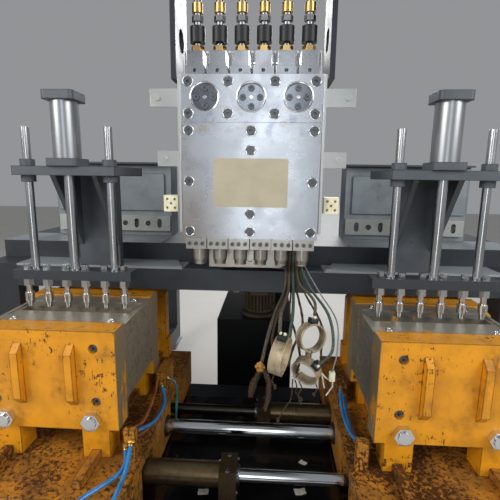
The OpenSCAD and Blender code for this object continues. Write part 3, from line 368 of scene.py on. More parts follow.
def soft_plastic(name, body, shade, roughness=0.35, size=0.02, depth=0.0002, coat=0.0):
    finish, tree, shader = new_finish(name)
    tone = fade(tree, mottle(tree, size, 5), 0.35, 0.7)
    soiled = fade(tree, mottle(tree, size * 3, 4), 0.55, 0.85)
    base = mixed(tree, tone, colour(body), colour(shade))
    base = mixed(tree, times(tree, soiled, 0.4), base, colour("#3a332a"))
    tree.links.new(base, shader.inputs["Base Color"])
    tree.links.new(level(tree, soiled, roughness, roughness + 0.25), shader.inputs["Roughness"])
    shader.inputs["Coat Weight"].default_value = coat
    raise_surface(tree, shader, mottle(tree, size / 6, 3), depth, 0.0005)
    return finish


# %% [markdown]
# ## Dressing the CAD parts
# Each CAD part keeps its mesh and gets one finish. The table below reads like a paint plan: first the finish, then
# the parts that wear it.

# %% Make the finishes
frame_paint = painted_steel("frame_paint", "#2b3037", "#5c5048", wear=0.3, dirt=0.35, roughness=0.4)
beam_paint = painted_steel("beam_paint", "#343a42", "#6d655c", wear=0.3, dirt=0.35, roughness=0.38)
deck_paint = painted_steel("deck_paint", "#30353c", "#6d655c", wear=0.25, dirt=0.4, roughness=0.45)
yellow_paint = painted_steel("yellow_paint", "#e59a16", "#6e4a2c", wear=0.75, dirt=0.65, roughness=0.4,
                             soil="#4a3218", chip_size=0.012)
rail_paint = painted_steel("rail_paint", "#c07f22", "#6a4526", wear=1.45, dirt=0.95, roughness=0.5,
                           soil="#2b2016", chip_size=0.01)
blue_enamel = painted_steel("blue_enamel", "#31658a", "#4f4a44", wear=0.3, dirt=0.4)
motor_paint = painted_steel("motor_paint", "#8a7a63", "#4b4238", wear=0.35, dirt=0.7, roughness=0.55)
tank_paint = painted_steel("tank_paint", "#1b1d20", "#4a4038", wear=0.3, dirt=0.5, roughness=0.36)
stand_paint = painted_steel("stand_paint", "#565d65", "#3c3a38", wear=0.3, dirt=0.4, roughness=0.42)
grey_coat = painted_steel("grey_coat", "#939ca3", "#6d665c", wear=0.25, dirt=0.5, roughness=0.36, soil="#3c3a37")
head_steel = bare_steel("head_steel", "#c3c8cf", 0.25, stained=0.3, stain="#8f7f68")
cover_steel = bare_steel("cover_steel", "#cfd1cf", 0.3, stained=0.3, stain="#a08a62")
die_steel = bare_steel("die_steel", "#bfbcb4", 0.28, stained=0.6)
plug_steel = bare_steel("plug_steel", "#868b93", 0.16, lines=(30, 30, 30), stained=0.4)
bright_steel = bare_steel("bright_steel", "#e2e3e4", 0.14, lines=(30, 30, 30), stained=0.15)
guide_steel = bare_steel("guide_steel", "#9ea1a6", 0.24, stained=0.5, stain="#7d5f2c")
rod_chrome = bare_steel("rod_chrome", "#dfe1e4", 0.09, lines=(300, 6, 6), line_depth=0.00001, stained=0.3)
oiled_rod = bare_steel("oiled_rod", "#4a4640", 0.3, lines=(300, 6, 6), line_depth=0.00001, stained=0.7,
                       stain="#1c1712")
pin_steel = bare_steel("pin_steel", "#d4d6d8", 0.16, lines=(60, 60, 8), line_depth=0.00001, stained=0.25)
screw_steel = bare_steel("screw_steel", "#6f7276", 0.34, lines=(60, 60, 60), stained=0.4)
dark_steel = bare_steel("dark_steel", "#3f4247", 0.38, lines=(40, 40, 40), stained=0.4, metallic=0.8)
barrel_steel = bare_steel("barrel_steel", "#8e9195", 0.4, stained=0.5)
cylinder_steel = bare_steel("cylinder_steel", "#6b5a42", 0.26, lines=(300, 8, 8), stained=0.8, stain="#241b12",
                            metallic=0.85)
mould_steel = bare_steel("mould_steel", "#9a8f7c", 0.44, lines=(20, 20, 160), stained=0.85, stain="#4b3a28",
                         bright_edges=0.7, metallic=0.45)
scraped_steel = bare_steel("scraped_steel", "#8b857b", 0.42, lines=(20, 20, 160), stained=0.7, stain="#4b3a28",
                           bright_edges=0.7, metallic=0.5)
heated_sheet = bare_steel("heated_sheet", "#b5a68a", 0.46, lines=(30, 30, 30), stained=0.9, stain="#4c3a24",
                          bright_edges=1.0, metallic=0.45)
spun_sheet = bare_steel("spun_sheet", "#d0d3d5", 0.26, lines=(4, 4, 300), stained=0.2)
bar_metal = bare_steel("bar_metal", "#c3c4c0", 0.42, lines=(5, 5, 260), stained=0.4)
plate_metal = bare_steel("plate_metal", "#c3b9a2", 0.4, lines=(5, 5, 300), stained=0.3, metallic=0.55)
brass = bare_steel("brass", "#c79a4a", 0.28, lines=(50, 50, 50), stained=0.4)
oil_black = oily_sheet("oil_black")
hose_blue = soft_plastic("hose_blue", "#2e86c8", "#2470b0", 0.25, size=0.03, coat=0.4)
hose_copper = soft_plastic("hose_copper", "#a5612f", "#7c4423", 0.3, size=0.03, coat=0.3)
hose_teal = soft_plastic("hose_teal", "#2f8388", "#25686e", 0.3, size=0.03, coat=0.3)
lead_braid = soft_plastic("lead_braid", "#625d4d", "#2b271e", 0.7, size=0.003, depth=0.0008)
lead_green = soft_plastic("lead_green", "#51645a", "#29342d", 0.6, size=0.003, depth=0.0006)
lead_grey = soft_plastic("lead_grey", "#8e9092", "#6c6e70", 0.5, size=0.004)
ceramic = soft_plastic("ceramic", "#e9e5ca", "#dcd5b4", 0.4, size=0.02)
char = soft_plastic("char", "#1d140d", "#5b4020", 0.6, size=0.004, depth=0.002)
burnt_plastic = soft_plastic("burnt_plastic", "#d49a3c", "#6a4216", 0.4, size=0.006, depth=0.0015, coat=0.3)
white_tape = soft_plastic("white_tape", "#dedcd4", "#bdb9ae", 0.5, size=0.01)
print("finishes:", len(bpy.data.materials))

# %% [markdown]
# ## Second coats
# One CAD part can hold surfaces that look different, such as the black couplings on the steel mandrels. Its mesh
# could be cut up, but it is kept as it is. So a mask picks the places by height or by distance from the middle,
# and a second colour is mixed in there. In the same way, the tops of the crossbeam and the deck get a painted
# highlight: light grey where they catch the light from above.

# %% Painted highlights on the beam and deck tops, couplings and stands
# Painted highlight: the crossbeam's top faces left and right of the head are light grey for the light from above.
tree = beam_paint.node_tree
beam_top_highlight = between(tree, along_part(tree, "Z"), 1.1265, 1.14)
second_coat(beam_paint, times(tree, beam_top_highlight, above(tree, off_middle(tree), 0.204)), "#98a0a6", 0.45, 0.2)
# Painted highlight: the deck's top at its front corners is light grey for the light from above.
tree = deck_paint.node_tree
deck_top_highlight = above(tree, along_part(tree, "Z"), 1.1855)
front_corners = times(tree, below(tree, along_part(tree, "Y"), -0.49), above(tree, off_middle(tree), 0.296))
second_coat(deck_paint, times(tree, deck_top_highlight, front_corners), "#868f96", 0.4)
tree = grey_coat.node_tree
second_coat(grey_coat, above(tree, along_part(tree, "Z"), 1.425), "#4d5155", 0.45)

mandrel_steel = bare_steel("mandrel_steel", "#8f9195", 0.28, lines=(40, 40, 40), stained=0.5)
tree = mandrel_steel.node_tree
height = along_part(tree, "Z")
second_coat(mandrel_steel, between(tree, height, 1.664, 1.681), "#c0a068", 0.25)
second_coat(mandrel_steel, between(tree, height, 1.686, 1.722), "#1d1e21", 0.45, 0.2)
second_coat(mandrel_steel, between(tree, height, 1.748, 1.77), "#b3925a", 0.3)
tree = pin_steel.node_tree
second_coat(pin_steel, between(tree, along_part(tree, "Z"), 1.1318, 1.1565), "#4a4e54", 0.4, 0.6)
tree = stand_paint.node_tree
second_coat(stand_paint, between(tree, along_part(tree, "Z"), 1.4305, 1.5615), "#a6aaad", 0.32, 0.9)
print("nodes in the mandrels' finish:", len(mandrel_steel.node_tree.nodes))

# %% Heat tints on the die head: gold and blue along its joint, brown at the lower left
tree = head_steel.node_tree
from_joint = math_node(tree, "ABSOLUTE", math_node(tree, "SUBTRACT", along_part(tree, "Z"), 1.512))
near_joint = math_node(tree, "SUBTRACT", 1.0, fade(tree, from_joint, 0.0, 0.055))
tint = times(tree, near_joint, fade(tree, mottle(tree, 0.03, 6, roughness=0.6), 0.5, 0.64))
second_coat(head_steel, times(tree, tint, 0.55), "#8494ae")
gold = times(tree, near_joint, fade(tree, mottle(tree, 0.045, 5, stretch=(1, 1, 2)), 0.56, 0.68))
second_coat(head_steel, times(tree, gold, 0.45), "#b39a68")
to_left = fade(tree, times(tree, along_part(tree, "X"), -1.0), 0.02, 0.15)
to_bottom = math_node(tree, "SUBTRACT", 1.0, fade(tree, along_part(tree, "Z"), 1.26, 1.5))
low_left = times(tree, to_left, to_bottom)
second_coat(head_steel, times(tree, low_left, 0.5), "#a58e78")
print("nodes in the head's finish:", len(head_steel.node_tree.nodes))

# %% Mould tops lighter and smoother where they face up, with yellow paint scraped onto the right-hand ones
for steel in (mould_steel, scraped_steel):
    tree = steel.node_tree
    # Faces that point up get a lighter, smoother coat.
    second_coat(steel, times(tree, above(tree, facing_up(tree), 0.7), 0.55), "#aaa598", 0.36)
    dots = fade(tree, mottle(tree, 0.009, 1, stretch=(1, 1, 0.6)), 0.76, 0.8)
    second_coat(steel, times(tree, dots, 0.7), "#c9c0a8", 0.5)
tree = scraped_steel.node_tree
scraped = fade(tree, mottle(tree, 0.035, 6, stretch=(1, 1.3, 0.6), roughness=0.6), 0.6, 0.63)
second_coat(scraped_steel, times(tree, scraped, 0.85), "#c98f2c", 0.5, 0.0)
print("nodes in the scraped finish:", len(scraped_steel.node_tree.nodes))

# %% Platen edges that have lost their paint to the moulds' handling
tree = yellow_paint.node_tree
inner_edge = below(tree, off_middle(tree), 0.2856)
bare = fade(tree, mottle(tree, 0.03, 6, stretch=(1, 1, 0.4)), 0.36, 0.46)
second_coat(yellow_paint, times(tree, inner_edge, bare), "#8c7a5c", 0.5, 0.2)
print("nodes in the yellow paint:", len(yellow_paint.node_tree.nodes))

# %% The paint plan
paint_plan = {
    "floor_sills bed_housing posts end_brackets": frame_paint,
    "crossbeam": beam_paint,
    "deck deck_brackets": deck_paint,
    "cover_sheet": oil_black,
    "levelling_feet": bare_steel("zinc_plate", "#c2c4c6", 0.3, stained=0.3),
    "guide_rods right_shift_rod left_clamp_rod right_clamp_rod left_tie_bars right_tie_bars": rod_chrome,
    "left_shift_rod": oiled_rod,
    "shift_cylinders": cylinder_steel,
    "side_panels": grey_coat,
    "slotted_bars": bar_metal,
    "socket_screws": screw_steel,
    "head_body face_plates": head_steel,
    "port_plugs": plug_steel,
    "die_clamps die_nozzles bottom_flange": die_steel,
    "side_covers": cover_steel,
    "nameplate": plate_metal,
    "terminal_blocks": ceramic,
    "guide_blocks": guide_steel,
    "mandrels": mandrel_steel,
    "left_blow_pins right_blow_pins": pin_steel,
    "blow_stands": stand_paint,
    "mandrel_yoke servo_cylinder": dark_steel,
    "extruder_barrel extruder_screw": barrel_steel,
    "barrel_heaters heater_bands": heated_sheet,
    "gearbox drive_motor": blue_enamel,
    "pump_motor": motor_paint,
    "oil_tank": tank_paint,
    "hopper": spun_sheet,
    "loose_leads": lead_braid,
    "left_hoses right_hoses": hose_blue,
    "left_saddle right_saddle": rail_paint,
    "left_front_mould left_rear_mould": mould_steel,
    "right_front_mould right_rear_mould": scraped_steel,
}
for side in ("left", "right"):
    paint_plan[" ".join(f"{side}_{part}" for part in ("front_platen", "rear_platen", "crosshead"))] = yellow_paint
print("finishes in the plan:", len(paint_plan))

# %% Put the finishes on the CAD parts and the cords
def wear_finish(piece, finish):
    piece.data.materials.clear()
    piece.data.materials.append(finish)


for names, finish in paint_plan.items():
    for name in names.split():
        wear_finish(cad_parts[name], finish)
lead_finishes = [lead_braid, lead_braid, lead_green, lead_braid, lead_green,
                 lead_grey, lead_grey, lead_green, lead_grey]
hose_finishes = [hose_blue, hose_copper, hose_copper, hose_teal] + [hose_blue] * 4
for cord, finish in zip(heater_leads + motor_leads + left_hoses + right_hoses, lead_finishes + hose_finishes):
    wear_finish(cord, finish)
print("dressed parts:", sum(len(names.split()) for names in paint_plan))

# %% [markdown]
# ## Band heaters hanging loose
# A band heater is a strip of stainless sheet folded round a heating wire. It is rolled into a ring, open on one
# side, with two ears for a clamping screw and a small box where its leads enter. Turning a section round an axis
# gives the ring; leaving out a few degrees gives its gap.

# %% A section turned round an axis
def turned(mesh, section, turn, start=0.0, stop=360.0, steps=48):
    whole = stop - start >= 359.9
    count = steps if whole else steps + 1
    rings = []
    for i in range(count):
        a = math.radians(start + (stop - start) * i / steps)
        rings.append([mesh.verts.new(turn @ Vector((r * math.cos(a), y, r * math.sin(a)))) for r, y in section])
    for i in range(steps):
        here, after = rings[i], rings[(i + 1) % count]
        for j in range(len(section)):
            k = (j + 1) % len(section)
            mesh.faces.new([here[j], here[k], after[k], after[j]])
    if not whole:
        mesh.faces.new(rings[0][::-1])
        mesh.faces.new(rings[-1])


# %% A box with rounded edges, a screw head and a hexagon
def rounded_box(mesh, low, high, turn, radius):
    made = bmesh.ops.create_cube(mesh, size=1)["verts"]
    centre, span = (Vector(low) + Vector(high)) / 2, Vector(high) - Vector(low)
    for v in made:
        v.co = centre + Vector([a * b for a, b in zip(v.co, span)])
    edges = {e for v in made for e in v.link_edges}
    made = bmesh.ops.bevel(mesh, geom=list(edges), offset=radius, segments=2, profile=0.5, affect="EDGES")["verts"]
    reached = set(made)
    for v in made:
        reached |= {w for f in v.link_faces for w in f.verts}
    for v in reached:
        v.co = turn @ v.co


def screw_head(mesh, turn, radius, height):
    lip, hollow, bottom = radius * 0.12, radius * 0.5, height * 0.4
    turned(mesh, [(0.0001, 0), (0.0001, bottom), (hollow, bottom), (hollow, height), (radius - lip, height),
                  (radius, height - lip), (radius, 0)], turn, steps=16)


def hexagon(mesh, turn, radius, height):
    turned(mesh, [(0.0001, 0), (0.0001, height), (radius * 0.92, height), (radius, height * 0.85), (radius, 0)],
           turn, steps=6)


# %% Give a piece its finish and its body
def finish_piece(name, mesh, finish, body, replaces=()):
    bmesh.ops.recalc_face_normals(mesh, faces=mesh.faces)
    data = bpy.data.meshes.new(name)
    mesh.to_mesh(data)
    mesh.free()
    piece = bpy.data.objects.new(name, data)
    bpy.context.scene.collection.objects.link(piece)
    data.polygons.foreach_set("use_smooth", [True] * len(data.polygons))
    data.set_sharp_from_angle(angle=math.radians(35))
    data.materials.append(finish)
    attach(piece, body)
    if replaces:
        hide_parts(*replaces)


# %% Three bands with their boxes and clamping ears
loose_bands = [
    ((71, -1175, 1071), 36, 24, 72, 8, -100),
    ((132, -1120, 1085), 29, 22, 25, -6, -80),
    ((125, -1126, 1018), 28.5, 22, -32, 18, -40),
]
for i, (at, radius, width, yaw, tilt, swing) in enumerate(loose_bands):
    turn = (Matrix.Translation(Vector(at) / 1000) @ Matrix.Rotation(math.radians(yaw), 4, "Z")
            @ Matrix.Rotation(math.radians(tilt), 4, "X") @ Matrix.Rotation(math.radians(swing), 4, "Y"))
    r, half = radius / 1000, width / 2000
    ring = bmesh.new()
    section = [(r - 0.0038, -half + 0.001), (r - 0.0028, -half), (r - 0.0008, -half), (r, -half + 0.0012),
               (r - 0.0006, -half + 0.0026), (r - 0.0006, half - 0.0026), (r, half - 0.0012), (r - 0.0008, half),
               (r - 0.0028, half), (r - 0.0038, half - 0.001)]
    turned(ring, section, turn, start=184, stop=536, steps=64)
    for side in (-1, 1):
        ear = side * 0.0022
        rounded_box(ring, (-r - 0.009, -half + 0.003, ear - 0.0007), (-r + 0.002, half - 0.003, ear + 0.0007),
                    turn, 0.0004)
    finish_piece(f"loose_band_{i}", ring, heated_sheet, "frame", replaces=["heater_bands"])
    box = bmesh.new()
    rounded_box(box, (r - 0.002, -0.0085, -0.0075), (r + 0.0095, 0.0085, 0.0075), turn, 0.0012)
    lead_gap = 0.0042
    for y in (-lead_gap, lead_gap):
        lift = turn @ Matrix.Translation((r + 0.0035, y, 0.0072)) @ Matrix.Rotation(math.radians(90), 4, "X")
        screw_head(box, lift, 0.0024, 0.0018)
    finish_piece(f"band_box_{i}", box, dark_steel, "frame")
    beads = bmesh.new()
    for y in (-lead_gap, lead_gap):
        lift = turn @ Matrix.Translation((r + 0.0088, y, 0)) @ Matrix.Rotation(math.radians(-90), 4, "Z")
        turned(beads, [(0.0009, 0), (0.0026, 0), (0.0029, 0.0012), (0.0024, 0.0045), (0.0009, 0.0052)],
               lift, steps=16)
    finish_piece(f"band_beads_{i}", beads, ceramic, "frame")
print("loose bands:", len(loose_bands))

# %% [markdown]
# ## The burnt terminal
# One lead ends in a lump of melted insulation with two charred strips under it. A sphere pushed in and out by
# noise reads as a melted lump at once; the strips are thin bars bent a little at each step.

# %% A tube laid along a line
def lay_tube(mesh, line, radius, sides=8, wobble=0.0):
    rings = []
    up = Vector((0.31, 0.87, 0.38))
    for i, p in enumerate(line):
        ahead = (line[min(i + 1, len(line) - 1)] - line[max(i - 1, 0)]).normalized()
        first = ahead.cross(up).normalized()
        second = ahead.cross(first)
        up = first.cross(ahead)
        ring = []
        for k in range(sides):
            a = 2 * math.pi * k / sides
            r = radius * (1 + wobble * noise.noise(p * 400 + Vector((k * 1.7, 0, 0))))
            ring.append(mesh.verts.new(p + (first * math.cos(a) + second * math.sin(a)) * r))
        rings.append(ring)
    for a, b in zip(rings, rings[1:]):
        for k in range(sides):
            mesh.faces.new([a[k], a[(k + 1) % sides], b[(k + 1) % sides], b[k]])
    mesh.faces.new(rings[0])
    mesh.faces.new(rings[-1][::-1])


# %% The melted lump
lump_at = Vector((0.034, -1.125, 1.021))
lump = bmesh.new()
bmesh.ops.create_icosphere(lump, subdivisions=4, radius=0.0096, matrix=Matrix.Translation(lump_at))
for v in lump.verts:
    v.co += (v.co - lump_at) * (0.3 * noise.noise(v.co * 130) + 0.16 * noise.noise(v.co * 420))
finish_piece("burnt_lump", lump, burnt_plastic, "frame", replaces=["heater_bands"])

# %% Two charred strips
strip_edges = [   # height, left and right edge of each strip, from the lump, in millimetres
    [(-5, -5, 4), (-34, -19, -7), (-48, -22, -11), (-62, -22, -15)],
    [(-5, 3, 9), (-27, 12, 22), (-59, 13, 22), (-90, 10, 14)],
]
strips = bmesh.new()
for n, edges in enumerate(strip_edges):
    middle = [Vector(((a + b) / 2, 0, z)) / 1000 + lump_at for z, a, b in edges]
    line = smooth_line([p * 1000 for p in middle], 10)
    for i, p in enumerate(line):
        z = (p.z - lump_at.z) * 1000
        for (z0, a0, b0), (z1, a1, b1) in zip(edges, edges[1:]):
            if z1 <= z <= z0 or (z1, a1, b1) == edges[-1]:
                part = min(1, max(0, (z0 - z) / (z0 - z1)))
                wide = ((b0 - a0) * (1 - part) + (b1 - a1) * part) / 2000
                break
        for k in range(7):
            a = random.uniform(0, 2 * math.pi)
            out = Vector((wide * math.cos(a), 0.0025 * math.sin(a), 0))
            tip = p + out * random.uniform(0.9, 1.35) + Vector((0, 0, random.uniform(-0.006, 0.002)))
            lay_tube(strips, [p, p + out * 0.6, tip], 0.0011, 5, 0.4)
    lay_tube(strips, line, 0.0036, 10, 0.5)
finish_piece("charred_strips", strips, char, "frame", replaces=["heater_bands"])

# %% Charred wires in the bundle, and their ends
burnt_wires = bmesh.new()
charred_stops = [
    (2.6, [(95, -852, 1176), (90, -925, 1122), (74, -1005, 1108), (64, -1070, 1100), (56, -1108, 1074),
           (60, -1116, 1042)]),
    (2.2, [(103, -852, 1176), (101, -930, 1122), (94, -1030, 1102), (104, -1092, 1078), (113, -1112, 1040),
           (107, -1114, 1004)]),
    (2.6, [(112, -852, 1176), (114, -935, 1126), (118, -1035, 1112), (116, -1096, 1096), (97, -1116, 1056),
           (90, -1116, 1022)]),
    (2.2, [(119, -852, 1176), (130, -940, 1128), (150, -1050, 1108), (160, -1098, 1084), (154, -1112, 1050),
           (160, -1112, 1024)]),
]
for radius, stops in charred_stops:
    lay_tube(burnt_wires, smooth_line(stops), radius / 1000, 8, 0.5)
wire_ends = [
    [(100, -1118, 994), (99, -1115, 979), (98, -1115, 950), (86, -1115, 928), (72, -1115, 900)],
    [(104, -1120, 993), (108, -1116, 978), (107, -1115, 964), (118, -1115, 949)],
    [(112, -1122, 991), (118, -1117, 975), (112, -1115, 958), (116, -1114, 941)],
    [(150, -1112, 1000), (146, -1112, 985), (150, -1111, 972), (144, -1110, 958)],
    [(62, -1178, 1036), (58, -1172, 1018), (63, -1168, 1004)],
]
for stops in wire_ends:
    lay_tube(burnt_wires, smooth_line(stops), 0.0013, 7, 0.7)
    blob = [Vector(stops[-1]) / 1000 + Vector((0.0003 * k, 0, -0.002 * k)) for k in range(-2, 3)]
    lay_tube(burnt_wires, blob, 0.0026, 8, 0.8)
finish_piece("burnt_wires", burnt_wires, char, "frame")
print("charred wires:", len(charred_stops) + len(wire_ends))

# %% Ceramic connector with its two white wires
connector = bmesh.new()
rounded_box(connector, (0.172, -1.117, 0.99), (0.184, -1.107, 1.01), Matrix.Identity(4), 0.0015)
finish_piece("loose_connector", connector, ceramic, "frame", replaces=["heater_bands"])
white_wires = bmesh.new()
for stops in ([(175, -1112, 991), (166, -1111, 996), (158, -1110, 1005)],
              [(158, -1110, 1004), (161, -1110, 988), (164, -1110, 973)],
              [(179, -1112, 991), (180, -1111, 978), (174, -1110, 966), (169, -1110, 957)]):
    lay_tube(white_wires, smooth_line(stops), 0.0015, 8, 0.2)
finish_piece("white_wires", white_wires, white_tape, "frame")

# %% [markdown]
# ## Fittings at the hose ends
# A hose never ends on a bare face. Each end sits in a push-in fitting: a hexagon that screws into the block and a
# collar that grips the hose. The fitting is turned to the hose's own direction, which the smooth line gives.

# %% Fittings on hoses and leads
def turned_toward(tip, direction):
    return Matrix.Translation(tip) @ Vector((0, 1, 0)).rotation_difference(direction).to_matrix().to_4x4()


def fitting(mesh, line, radius, at_end):
    tip, inner = (line[-1], line[-3]) if at_end else (line[0], line[2])
    turn = turned_toward(tip, inner - tip)
    hexagon(mesh, turn, radius * 1.75, radius * 1.5)
    turned(mesh, [(radius * 1.02, radius * 1.4), (radius * 1.35, radius * 1.4), (radius * 1.4, radius * 2.6),
                  (radius * 1.25, radius * 2.9), (radius * 1.02, radius * 2.9)], turn, steps=24)


for side, all_stops in (("left", left_stops), ("right", right_stops)):
    ends = bmesh.new()
    for radius, stops in all_stops:
        for at_end in (False, True):
            fitting(ends, smooth_line(stops), radius / 1000, at_end)
    finish_piece(f"{side}_hose_fittings", ends, brass, f"{side}_carriage")
sleeves = bmesh.new()
for radius, stops in motor_stops:
    line = smooth_line(stops)
    r = radius / 1000
    section = [(r, -0.012), (r + 0.004, -0.012), (r + 0.005, -0.009), (r + 0.005, 0.009), (r + 0.004, 0.012),
               (r, 0.012)]
    for i in (10, 14):
        turned(sleeves, section, turned_toward(line[i], line[i + 1] - line[i]), steps=20)
finish_piece("motor_lead_sleeves", sleeves, ceramic, "frame")
print("fittings:", 2 * len(left_stops + right_stops), "sleeves:", 2 * len(motor_stops))

# %% [markdown]
# ## Rims, screws and wipers
# Each counterbore in the head has a bright turned rim, and each part that slides or is screwed on shows its screws.
# They are far too many to place by eye, so their places are worked out from the same few sizes as the CAD parts.

# %% Bright rims on the head
def aim(at, toward):
    return turned_toward(Vector(at) / 1000, Vector(toward))


FRONT, BACK, UP = (0, -1, 0), (0, 1, 0), (0, 0, 1)
head_front, plug_height = -950, 1563.5
screw_places = [(x, z) for x in (-139.5, -51.2, 51.2, 139.5) for z in (1528.5, 1595.5)]
screw_places += [(x, z) for x in (-139.5, 139.5) for z in (1267, 1380.8, 1492.5)]
screw_places += [(0, z) for z in (1267, 1308, 1450.5, 1492.5)]
rims = bmesh.new()
for x, z in screw_places:
    turned(rims, [(0.0098, -0.001), (0.0099, 0.0004), (0.0106, 0.0008), (0.0118, 0.0006), (0.0122, 0),
                  (0.0122, -0.001)], aim((x, head_front, z), FRONT), steps=32)
plug_places = (-102.4, 0, 102.4)
for x in plug_places:
    turned(rims, [(0.0288, -0.001), (0.029, 0.0008), (0.0312, 0.0014), (0.0328, 0.0008), (0.033, -0.001)],
           aim((x, head_front, plug_height), FRONT), steps=64)
    screw_head(rims, aim((x, head_front + 4, plug_height), FRONT), 0.0042, 0.003)
finish_piece("head_rims", rims, bright_steel, "frame")
print("rims:", len(screw_places) + len(plug_places))

# %% Wipers, platen bolts and mould screws
rod_places, rod_height = (-1150, -840), 685
saddle_side, platen_front, mould_top = 238, -1050, 1052
for side, sign in (("left", -1), ("right", 1)):
    wipers = bmesh.new()
    for y in rod_places:
        turn = aim((sign * saddle_side, y, rod_height), (-sign, 0, 0))
        turned(wipers, [(0.0203, -0.001), (0.0203, 0.0035), (0.0215, 0.0048), (0.028, 0.0048), (0.029, 0.0036),
                        (0.029, -0.001)], turn, steps=40)
        for a in (30, 150, 270):
            spot = Matrix.Rotation(math.radians(-a), 4, "Y") @ Vector((0.0252, 0.0046, 0))
            screw_head(wipers, turn @ Matrix.Translation(spot), 0.0022, 0.0018)
    finish_piece(f"{side}_wipers", wipers, dark_steel, f"{side}_carriage")
    bolts = bmesh.new()
    for x in (-565, -335):
        for z in (890, 1017):
            screw_head(bolts, aim((-sign * x, platen_front, z), FRONT), 0.0088, 0.009)
    finish_piece(f"{side}_platen_bolts", bolts, screw_steel, f"{side}_front_clamp")
    for part, y in (("front", -980), ("rear", -820)):
        tops = bmesh.new()
        for x in (-565, -325):
            turn = aim((-sign * x, y, mould_top), UP)
            screw_head(tops, turn, 0.009, 0.0022)
            turned(tops, [(0.0096, -0.0005), (0.0098, 0.0006), (0.0112, 0.0006), (0.0116, -0.0005)], turn, steps=28)
        finish_piece(f"{side}_{part}_mould_screws", tops, bright_steel, f"{side}_{part}_clamp")
print("wipers:", 2 * len(rod_places))

# %% Screws on the glands and brackets
glands = bmesh.new()
gland_side, gland_top = 20, 717
for sign, y in ((1, -1018), (-1, -750)):
    for dy in (-27, 27):
        for dz in (-25, 23):
            screw_head(glands, aim((-sign * gland_side, y + dy, rod_height + dz), (sign, 0, 0)), 0.005, 0.004)
        screw_head(glands, aim((-sign * 2 * gland_side, y + dy, gland_top), UP), 0.006, 0.0015)
    turned(glands, [(0.0153, 0), (0.0153, 0.005), (0.0165, 0.007), (0.0225, 0.007), (0.0235, 0.005), (0.0235, 0)],
           aim((-sign * gland_side, y, rod_height), (sign, 0, 0)), steps=40)
finish_piece("gland_screws", glands, screw_steel, "frame")

bracket_bolts = bmesh.new()
for sign in (-1, 1):
    for y in rod_places:
        for dy in (-33, 33):
            for z in (660, 635):
                hexagon(bracket_bolts, aim((sign * 690, y + dy, z), (sign, 0, 0)), 0.009, 0.006)
finish_piece("bracket_bolts", bracket_bolts, screw_steel, "frame")

# %% [markdown]
# ## Glasses that show a level
# The operator reads two levels from outside: the oil in the tank, through a long gauge on its back, and the
# granulate in the hopper, through a round glass with a screwed rim. Both are amber bodies sunk into a metal frame.

# %% Tank gauge and breather, and the hopper's sight glass
tank_parts = bmesh.new()
turned(tank_parts, [(0.0001, 0), (0.0001, 0.052), (0.02, 0.052), (0.034, 0.046), (0.036, 0.03), (0.03, 0.026),
                    (0.022, 0.024), (0.022, 0)], aim((100, 220, 769), UP), steps=40)
rounded_box(tank_parts, (-0.132, 0.29, 0.5), (-0.108, 0.2965, 0.68), Matrix.Identity(4), 0.002)
for z in (510, 670):
    hexagon(tank_parts, aim((-120, 296.5, z), BACK), 0.009, 0.006)
finish_piece("tank_fittings", tank_parts, dark_steel, "frame")
window_height, window_bolt_circle, window_bolts = 1870, 34.8, 6
gauge = bmesh.new()
rounded_box(gauge, (-0.1255, 0.295, 0.53), (-0.1145, 0.2985, 0.65), Matrix.Identity(4), 0.0012)
turned(gauge, [(0.0001, 0.004), (0.028, 0.004), (0.028, 0), (0.0001, 0)],
       aim((0, 217, window_height), FRONT), steps=40)
finish_piece("sight_glasses", gauge, burnt_plastic, "frame")
window_rim = bmesh.new()
turned(window_rim, [(0.0275, -0.008), (0.0275, 0.006), (0.0285, 0.007), (0.041, 0.007), (0.042, 0.006),
                    (0.042, -0.012)], aim((0, 219, window_height), FRONT), steps=48)
for i in range(window_bolts):
    a = math.radians(i * 360 / window_bolts)
    across, up = window_bolt_circle * math.cos(a), window_bolt_circle * math.sin(a)
    hexagon(window_rim, aim((across, 212, window_height + up), FRONT), 0.004, 0.003)
finish_piece("hopper_window", window_rim, bright_steel, "frame")
print("window bolts:", window_bolts)
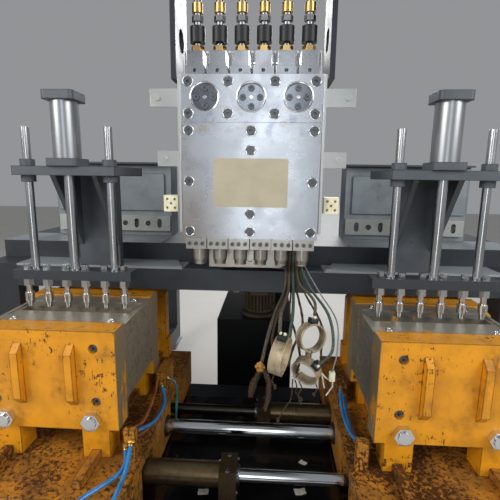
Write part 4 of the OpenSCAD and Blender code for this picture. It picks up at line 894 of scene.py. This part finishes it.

# %% [markdown]
# ## Tape scraps and their painted reflections on the cover sheet
# The bed collects what falls off the moulds. Two scraps of white tape lie on the black sheet, and two white patches
# in front of them are painted reflections of those scraps. Each is a small grid of faces lifted a little at its
# corners, because a perfectly flat scrap would look printed on.

# %% Scraps of tape, and two painted reflections of them
cover_top = 0.6203
cells, rows = 8, 6
white_patches = bmesh.new()
# The first two are tape scraps; the last two, nearer the front, are white patches painted as their reflections.
for x, y, wide, deep, turn_by in ((-82, -897, 22, 12, 20), (151, -884, 20, 14, -35),
                                  (-105, -1004, 26, 18, 5), (136, -988, 28, 20, 12)):
    lay = Matrix.Translation((x / 1000, y / 1000, cover_top)) @ Matrix.Rotation(math.radians(turn_by), 4, "Z")
    layers = []
    for lift in (0.0, 0.0005):
        grid = []
        for i in range(cells + 1):
            for k in range(rows + 1):
                u, v = i / cells - 0.5, k / rows - 0.5
                bumps = max(0, noise.noise(Vector((x + u * 3, y + v * 3, 0))))
                curl = 0.004 * max(0, abs(u) + abs(v) - 0.55) ** 1.2 + 0.0012 * bumps
                ragged = 1 + 0.16 * noise.noise(Vector((x, u * 5, v * 5)))
                corner = Vector((u * wide * ragged / 1000, v * deep * ragged / 1000, lift + curl))
                grid.append(white_patches.verts.new(lay @ corner))
        layers.append(grid)
    step = rows + 1
    for i in range(cells):
        for k in range(rows):
            a, b, c, d = i * step + k, i * step + k + 1, (i + 1) * step + k + 1, (i + 1) * step + k
            white_patches.faces.new([layers[1][n] for n in (a, d, c, b)])
            white_patches.faces.new([layers[0][n] for n in (a, b, c, d)])
    rim = list(range(step)) + [i * step + rows for i in range(1, cells + 1)]
    rim += [cells * step + k for k in range(rows - 1, -1, -1)] + [i * step for i in range(cells - 1, 0, -1)]
    for a, b in zip(rim, rim[1:] + rim[:1]):
        white_patches.faces.new([layers[0][a], layers[0][b], layers[1][b], layers[1][a]])
finish_piece("tape_scraps_and_painted_reflections", white_patches, white_tape, "frame")

# %% [markdown]
# ## Floor and light
# The floor is plain and pale. Big soft lamps stand where a photographer would put them: one behind the camera for
# the head's bright middle, one on each side for the rods and edges. Small hard lamps would give sharper
# highlights but would burn out the ground steel.

# %% Floor, lamps and world
bpy.ops.mesh.primitive_plane_add(size=30, location=(0, 0, -0.0005))
floor = bpy.context.object
floor.name = "floor"
ground, tree, shader = new_finish("pale_floor")
tree.links.new(mixed(tree, mottle(tree, 0.6, 4), colour("#cfcdc8"), colour("#bdbbb6")), shader.inputs["Base Color"])
shader.inputs["Roughness"].default_value = 0.75
wear_finish(floor, ground)


def soft_lamp(name, at, toward, size, power, tint=(1, 1, 1)):
    lamp = bpy.data.lights.new(name, "AREA")
    lamp.shape, lamp.size, lamp.energy, lamp.color = "RECTANGLE", size[0], power, tint
    lamp.size_y = size[1]
    stand = bpy.data.objects.new(name, lamp)
    bpy.context.scene.collection.objects.link(stand)
    stand.location = at
    stand.rotation_mode = "QUATERNION"
    stand.rotation_quaternion = (Vector(toward) - Vector(at)).to_track_quat("-Z", "Y")


soft_lamp("front_window", (-0.05, -4.2, 1.75), (-0.02, -0.95, 1.45), (0.6, 2.6), 12.5, (0.92, 0.96, 1.0))
soft_lamp("left_window", (-3.0, -3.4, 3.0), (0, -0.7, 0.9), (2.2, 2.2), 105, (1.0, 0.97, 0.92))
soft_lamp("right_window", (3.0, -3.2, 3.1), (0, -0.7, 0.9), (2.2, 2.2), 95, (1.0, 0.98, 0.95))
soft_lamp("back_window", (0.4, 3.6, 3.4), (0, 0, 0.9), (2.6, 1.6), 130)
world = bpy.data.worlds.new("studio")
bpy.context.scene.world = world
world.use_nodes = True
sky = world.node_tree.nodes["Background"]
sky.inputs["Color"].default_value = (0.80, 0.82, 0.85, 1)
sky.inputs["Strength"].default_value = 0.36
bpy.context.scene.view_settings.view_transform = "Standard"

# %% Update the scene
bpy.context.view_layer.update()
